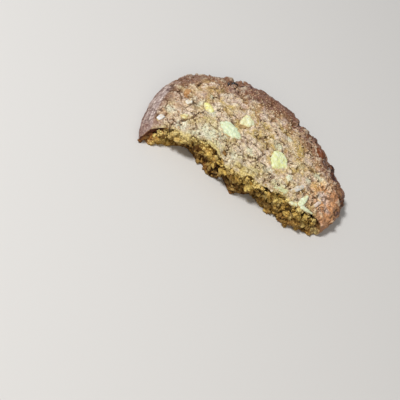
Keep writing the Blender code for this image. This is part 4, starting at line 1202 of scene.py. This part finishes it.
def smallCrumbs(rng):
    # small crumbs lie all over the broken face
    count = looseCrumbs["small"]
    left, right = looseCrumbs["fromTips"]
    x = rng.uniform(tipLeft + left, tipRight - right, count)
    depth = rng.uniform(*looseCrumbs["depths"], count) ** looseCrumbs["depthPower"]
    low, high = looseCrumbs["smallSizes"]
    radius = low + (high - low) * rng.random(count) ** looseCrumbs["smallPower"]
    middles = breakPoints(x, depth, domeHeight(x, breakY(x)), np.minimum(x - tipLeft, tipRight - x))
    middles[:, 2] = np.maximum(middles[:, 2], radius * looseCrumbs["above"])
    middles[:, 1] -= looseCrumbs["sunkIn"] * radius
    return middles, radius[:, None] * rng.uniform(*looseCrumbs["smallShape"], (count, 3))


def crumbs(material):
    rng = np.random.default_rng(looseCrumbs["smallSeed"])
    small = smallCrumbs(rng)
    for name, fineness, (points, size) in (("crumbClumps", looseCrumbs["largeFineness"], largeCrumbs()),
                                           ("looseCrumbs", looseCrumbs["fineness"], small)):
        total = len(points)
        grain = rng.random(total)
        x = points[:, 0]
        top = domeHeight(x, breakY(x))
        below = np.maximum(top - points[:, 2], 0.0)
        # painted shade on the lower crumbs and painted light on those just below the crust
        low = looseCrumbs["dark"] * smoothStep(crumbTexture["shadeFrom"], looseCrumbs["darkBy"], below / top)
        low *= smoothStep(*looseCrumbs["darkRight"], x)
        pale = np.exp(-below / linear(*looseCrumbs["paleReach"], bell(*looseCrumbs["paleBay"], x)))
        turns, seeds = rng.uniform(0, 2 * np.pi, total), rng.integers(0, 1000, total)
        raised = rng.random(total) * looseCrumbs["raised"]
        lumpCloud(name, fineness, points, size, turns, seeds, material, pale=pale, crumb=np.ones(total),
                  grain=grain, raised=raised, low=low)


def flakes(material):
    # granules of crust, spread at random over the top and thinned out on the smooth wall and lip
    rng = np.random.default_rng(looseCrumbs["flakeSeed"])
    count = looseCrumbs["flakes"]
    angle = rng.uniform(*looseCrumbs["flakeAngles"], count * 3)
    share = np.sqrt(rng.random(count * 3)) * looseCrumbs["flakeRim"]
    radius = rimRadius(angle)
    x, y = radius * share * np.cos(angle), radius * share * np.sin(angle)
    points = np.stack([x, y, domeHeight(x, y)], axis=-1)
    relief, wall, _ = broadRelief(points)
    lip, uneven = looseCrumbs["lipFrom"]
    fits = (y > breakY(x) + looseCrumbs["fromBreak"]) & (wall * (share > looseCrumbs["wallFrom"]) < 0.5)
    fits &= share < lip + uneven * rng.random(len(share))
    fits &= toppingReach(points, chocolatePlaces + macadamiaPlaces) > looseCrumbs["fromTopping"]
    points, relief, share = points[fits][:count], relief[fits][:count], share[fits][:count]
    total = len(points)
    low, high = looseCrumbs["flakeSizes"]
    size = (low + (high - low) * rng.random(total) ** 2)[:, None] * np.array(looseCrumbs["flakeShape"])
    points[:, 2] += relief + crustRelief(points)[0] + looseCrumbs["flakeUp"]
    grain, raised = rng.random(total), rng.random(total) * smoothStep(*looseCrumbs["flakeRaised"], share)
    turns, seeds = rng.uniform(0, 2 * np.pi, total), rng.integers(0, 1000, total)
    rim, mauve = (looseCrumbs["flakeTone"] * smoothStep(*looseCrumbs[key], share)
                  for key in ("flakeRimTone", "flakeMauve"))
    lumpCloud("crustFlakes", looseCrumbs["fineness"], points, size, turns, seeds, material,
              rim=rim, mauve=mauve, grain=grain, raised=raised)


studio = {
    "azimuth": -24.23, "elevation": 45.0, "roll": 42.63,  # of the camera, and its turn about its own axis
    "distance": 500.0,
    "target": (-0.75, 13.0, 6.0),
    "lens": 114.75, "sensor": 36.0, "shift": (-0.116375, -0.1302),
    "keyPower": 7.6, "fillPower": 1.6, "skyStrength": 0.30,
    "floorHalfSide": 3.0,
}


def addCamera():
    a, e, roll = (np.radians(studio[key]) for key in ("azimuth", "elevation", "roll"))
    back = np.array([np.sin(a) * np.cos(e), -np.cos(a) * np.cos(e), np.sin(e)])
    level = np.array([np.cos(a), np.sin(a), 0.0])
    upright = np.cross(back, level)
    right = level * np.cos(roll) + upright * np.sin(roll)
    up = -level * np.sin(roll) + upright * np.cos(roll)
    target = (np.array(studio["target"]) + roundCentre) * metresPerMm
    data = bpy.data.cameras.new("camera")
    camera = bpy.data.objects.new("camera", data)
    bpy.context.scene.collection.objects.link(camera)
    data.sensor_width, data.lens = studio["sensor"], studio["lens"]
    data.shift_x, data.shift_y = studio["shift"]
    data.clip_start = 0.01
    place = target + back * studio["distance"] * metresPerMm
    rows = [[*row, at] for *row, at in zip(right, up, back, place)]
    camera.matrix_world = Matrix([*rows, [0.0, 0.0, 0.0, 1.0]])
    bpy.context.scene.camera = camera
    return right, up, back


def addLight(name, direction, distance, size, power, colour):
    # a square soft box that faces the cookie from this direction
    data = bpy.data.lights.new(name, "AREA")
    data.shape, data.size, data.energy = "SQUARE", size, power
    data.color = linearColour(colour)[:3]
    lamp = bpy.data.objects.new(name, data)
    bpy.context.scene.collection.objects.link(lamp)
    way = Vector(direction).normalized()
    lamp.location = way * distance
    lamp.rotation_euler = way.to_track_quat("Z", "Y").to_euler()


def addStage():
    mesh = bpy.data.meshes.new("floor")
    side = studio["floorHalfSide"]
    corners = [(-side, -side, 0), (side, -side, 0), (side, side, 0), (-side, side, 0)]
    mesh.from_pydata(corners, [], [(0, 1, 2, 3)])
    material, _, shader = newMaterial("matte painted board")
    shader.inputs["Base Color"].default_value = linearColour("#cfcdca")
    shader.inputs["Roughness"].default_value = 0.8
    mesh.materials.append(material)
    floor = bpy.data.objects.new("floor", mesh)
    bpy.context.scene.collection.objects.link(floor)
    world = bpy.data.worlds.new("studio")
    world.use_nodes = True
    sky = world.node_tree.nodes["Background"].inputs
    sky["Color"].default_value = linearColour("#eef1f6")
    sky["Strength"].default_value = studio["skyStrength"]
    bpy.context.scene.world = world
    bpy.context.scene.view_settings.view_transform = "Standard"


right, up, back = addCamera()
addStage()
addLight("key", -0.12 * right + 0.55 * up + 0.82 * back, 0.9, 0.16, studio["keyPower"], "#ffffff")
addLight("warmFill", (0.2, -0.8, 0.5), 1.0, 0.6, studio["fillPower"], "#ffeccb")
print("stage, camera and lights made")
doughMaterial = dough()
print("dough made")
chocolate = toppingMaterial("white chocolate, baked", *toppingFinish["chocolate"])
macadamia = toppingMaterial("macadamia, chopped and roasted", *toppingFinish["macadamia"])
toppingPiece("whiteChocolate", chocolatePlaces, toppingFinish["chocolateTints"], chocolate,
             201, 0.40)
toppingPiece("macadamiaPieces", macadamiaPlaces, toppingFinish["macadamiaTints"], macadamia,
             301, 0.34)
nubs()
print("toppings and nubs made")
crumbs(doughMaterial)
flakes(doughMaterial)
print("crumbs and flakes made")
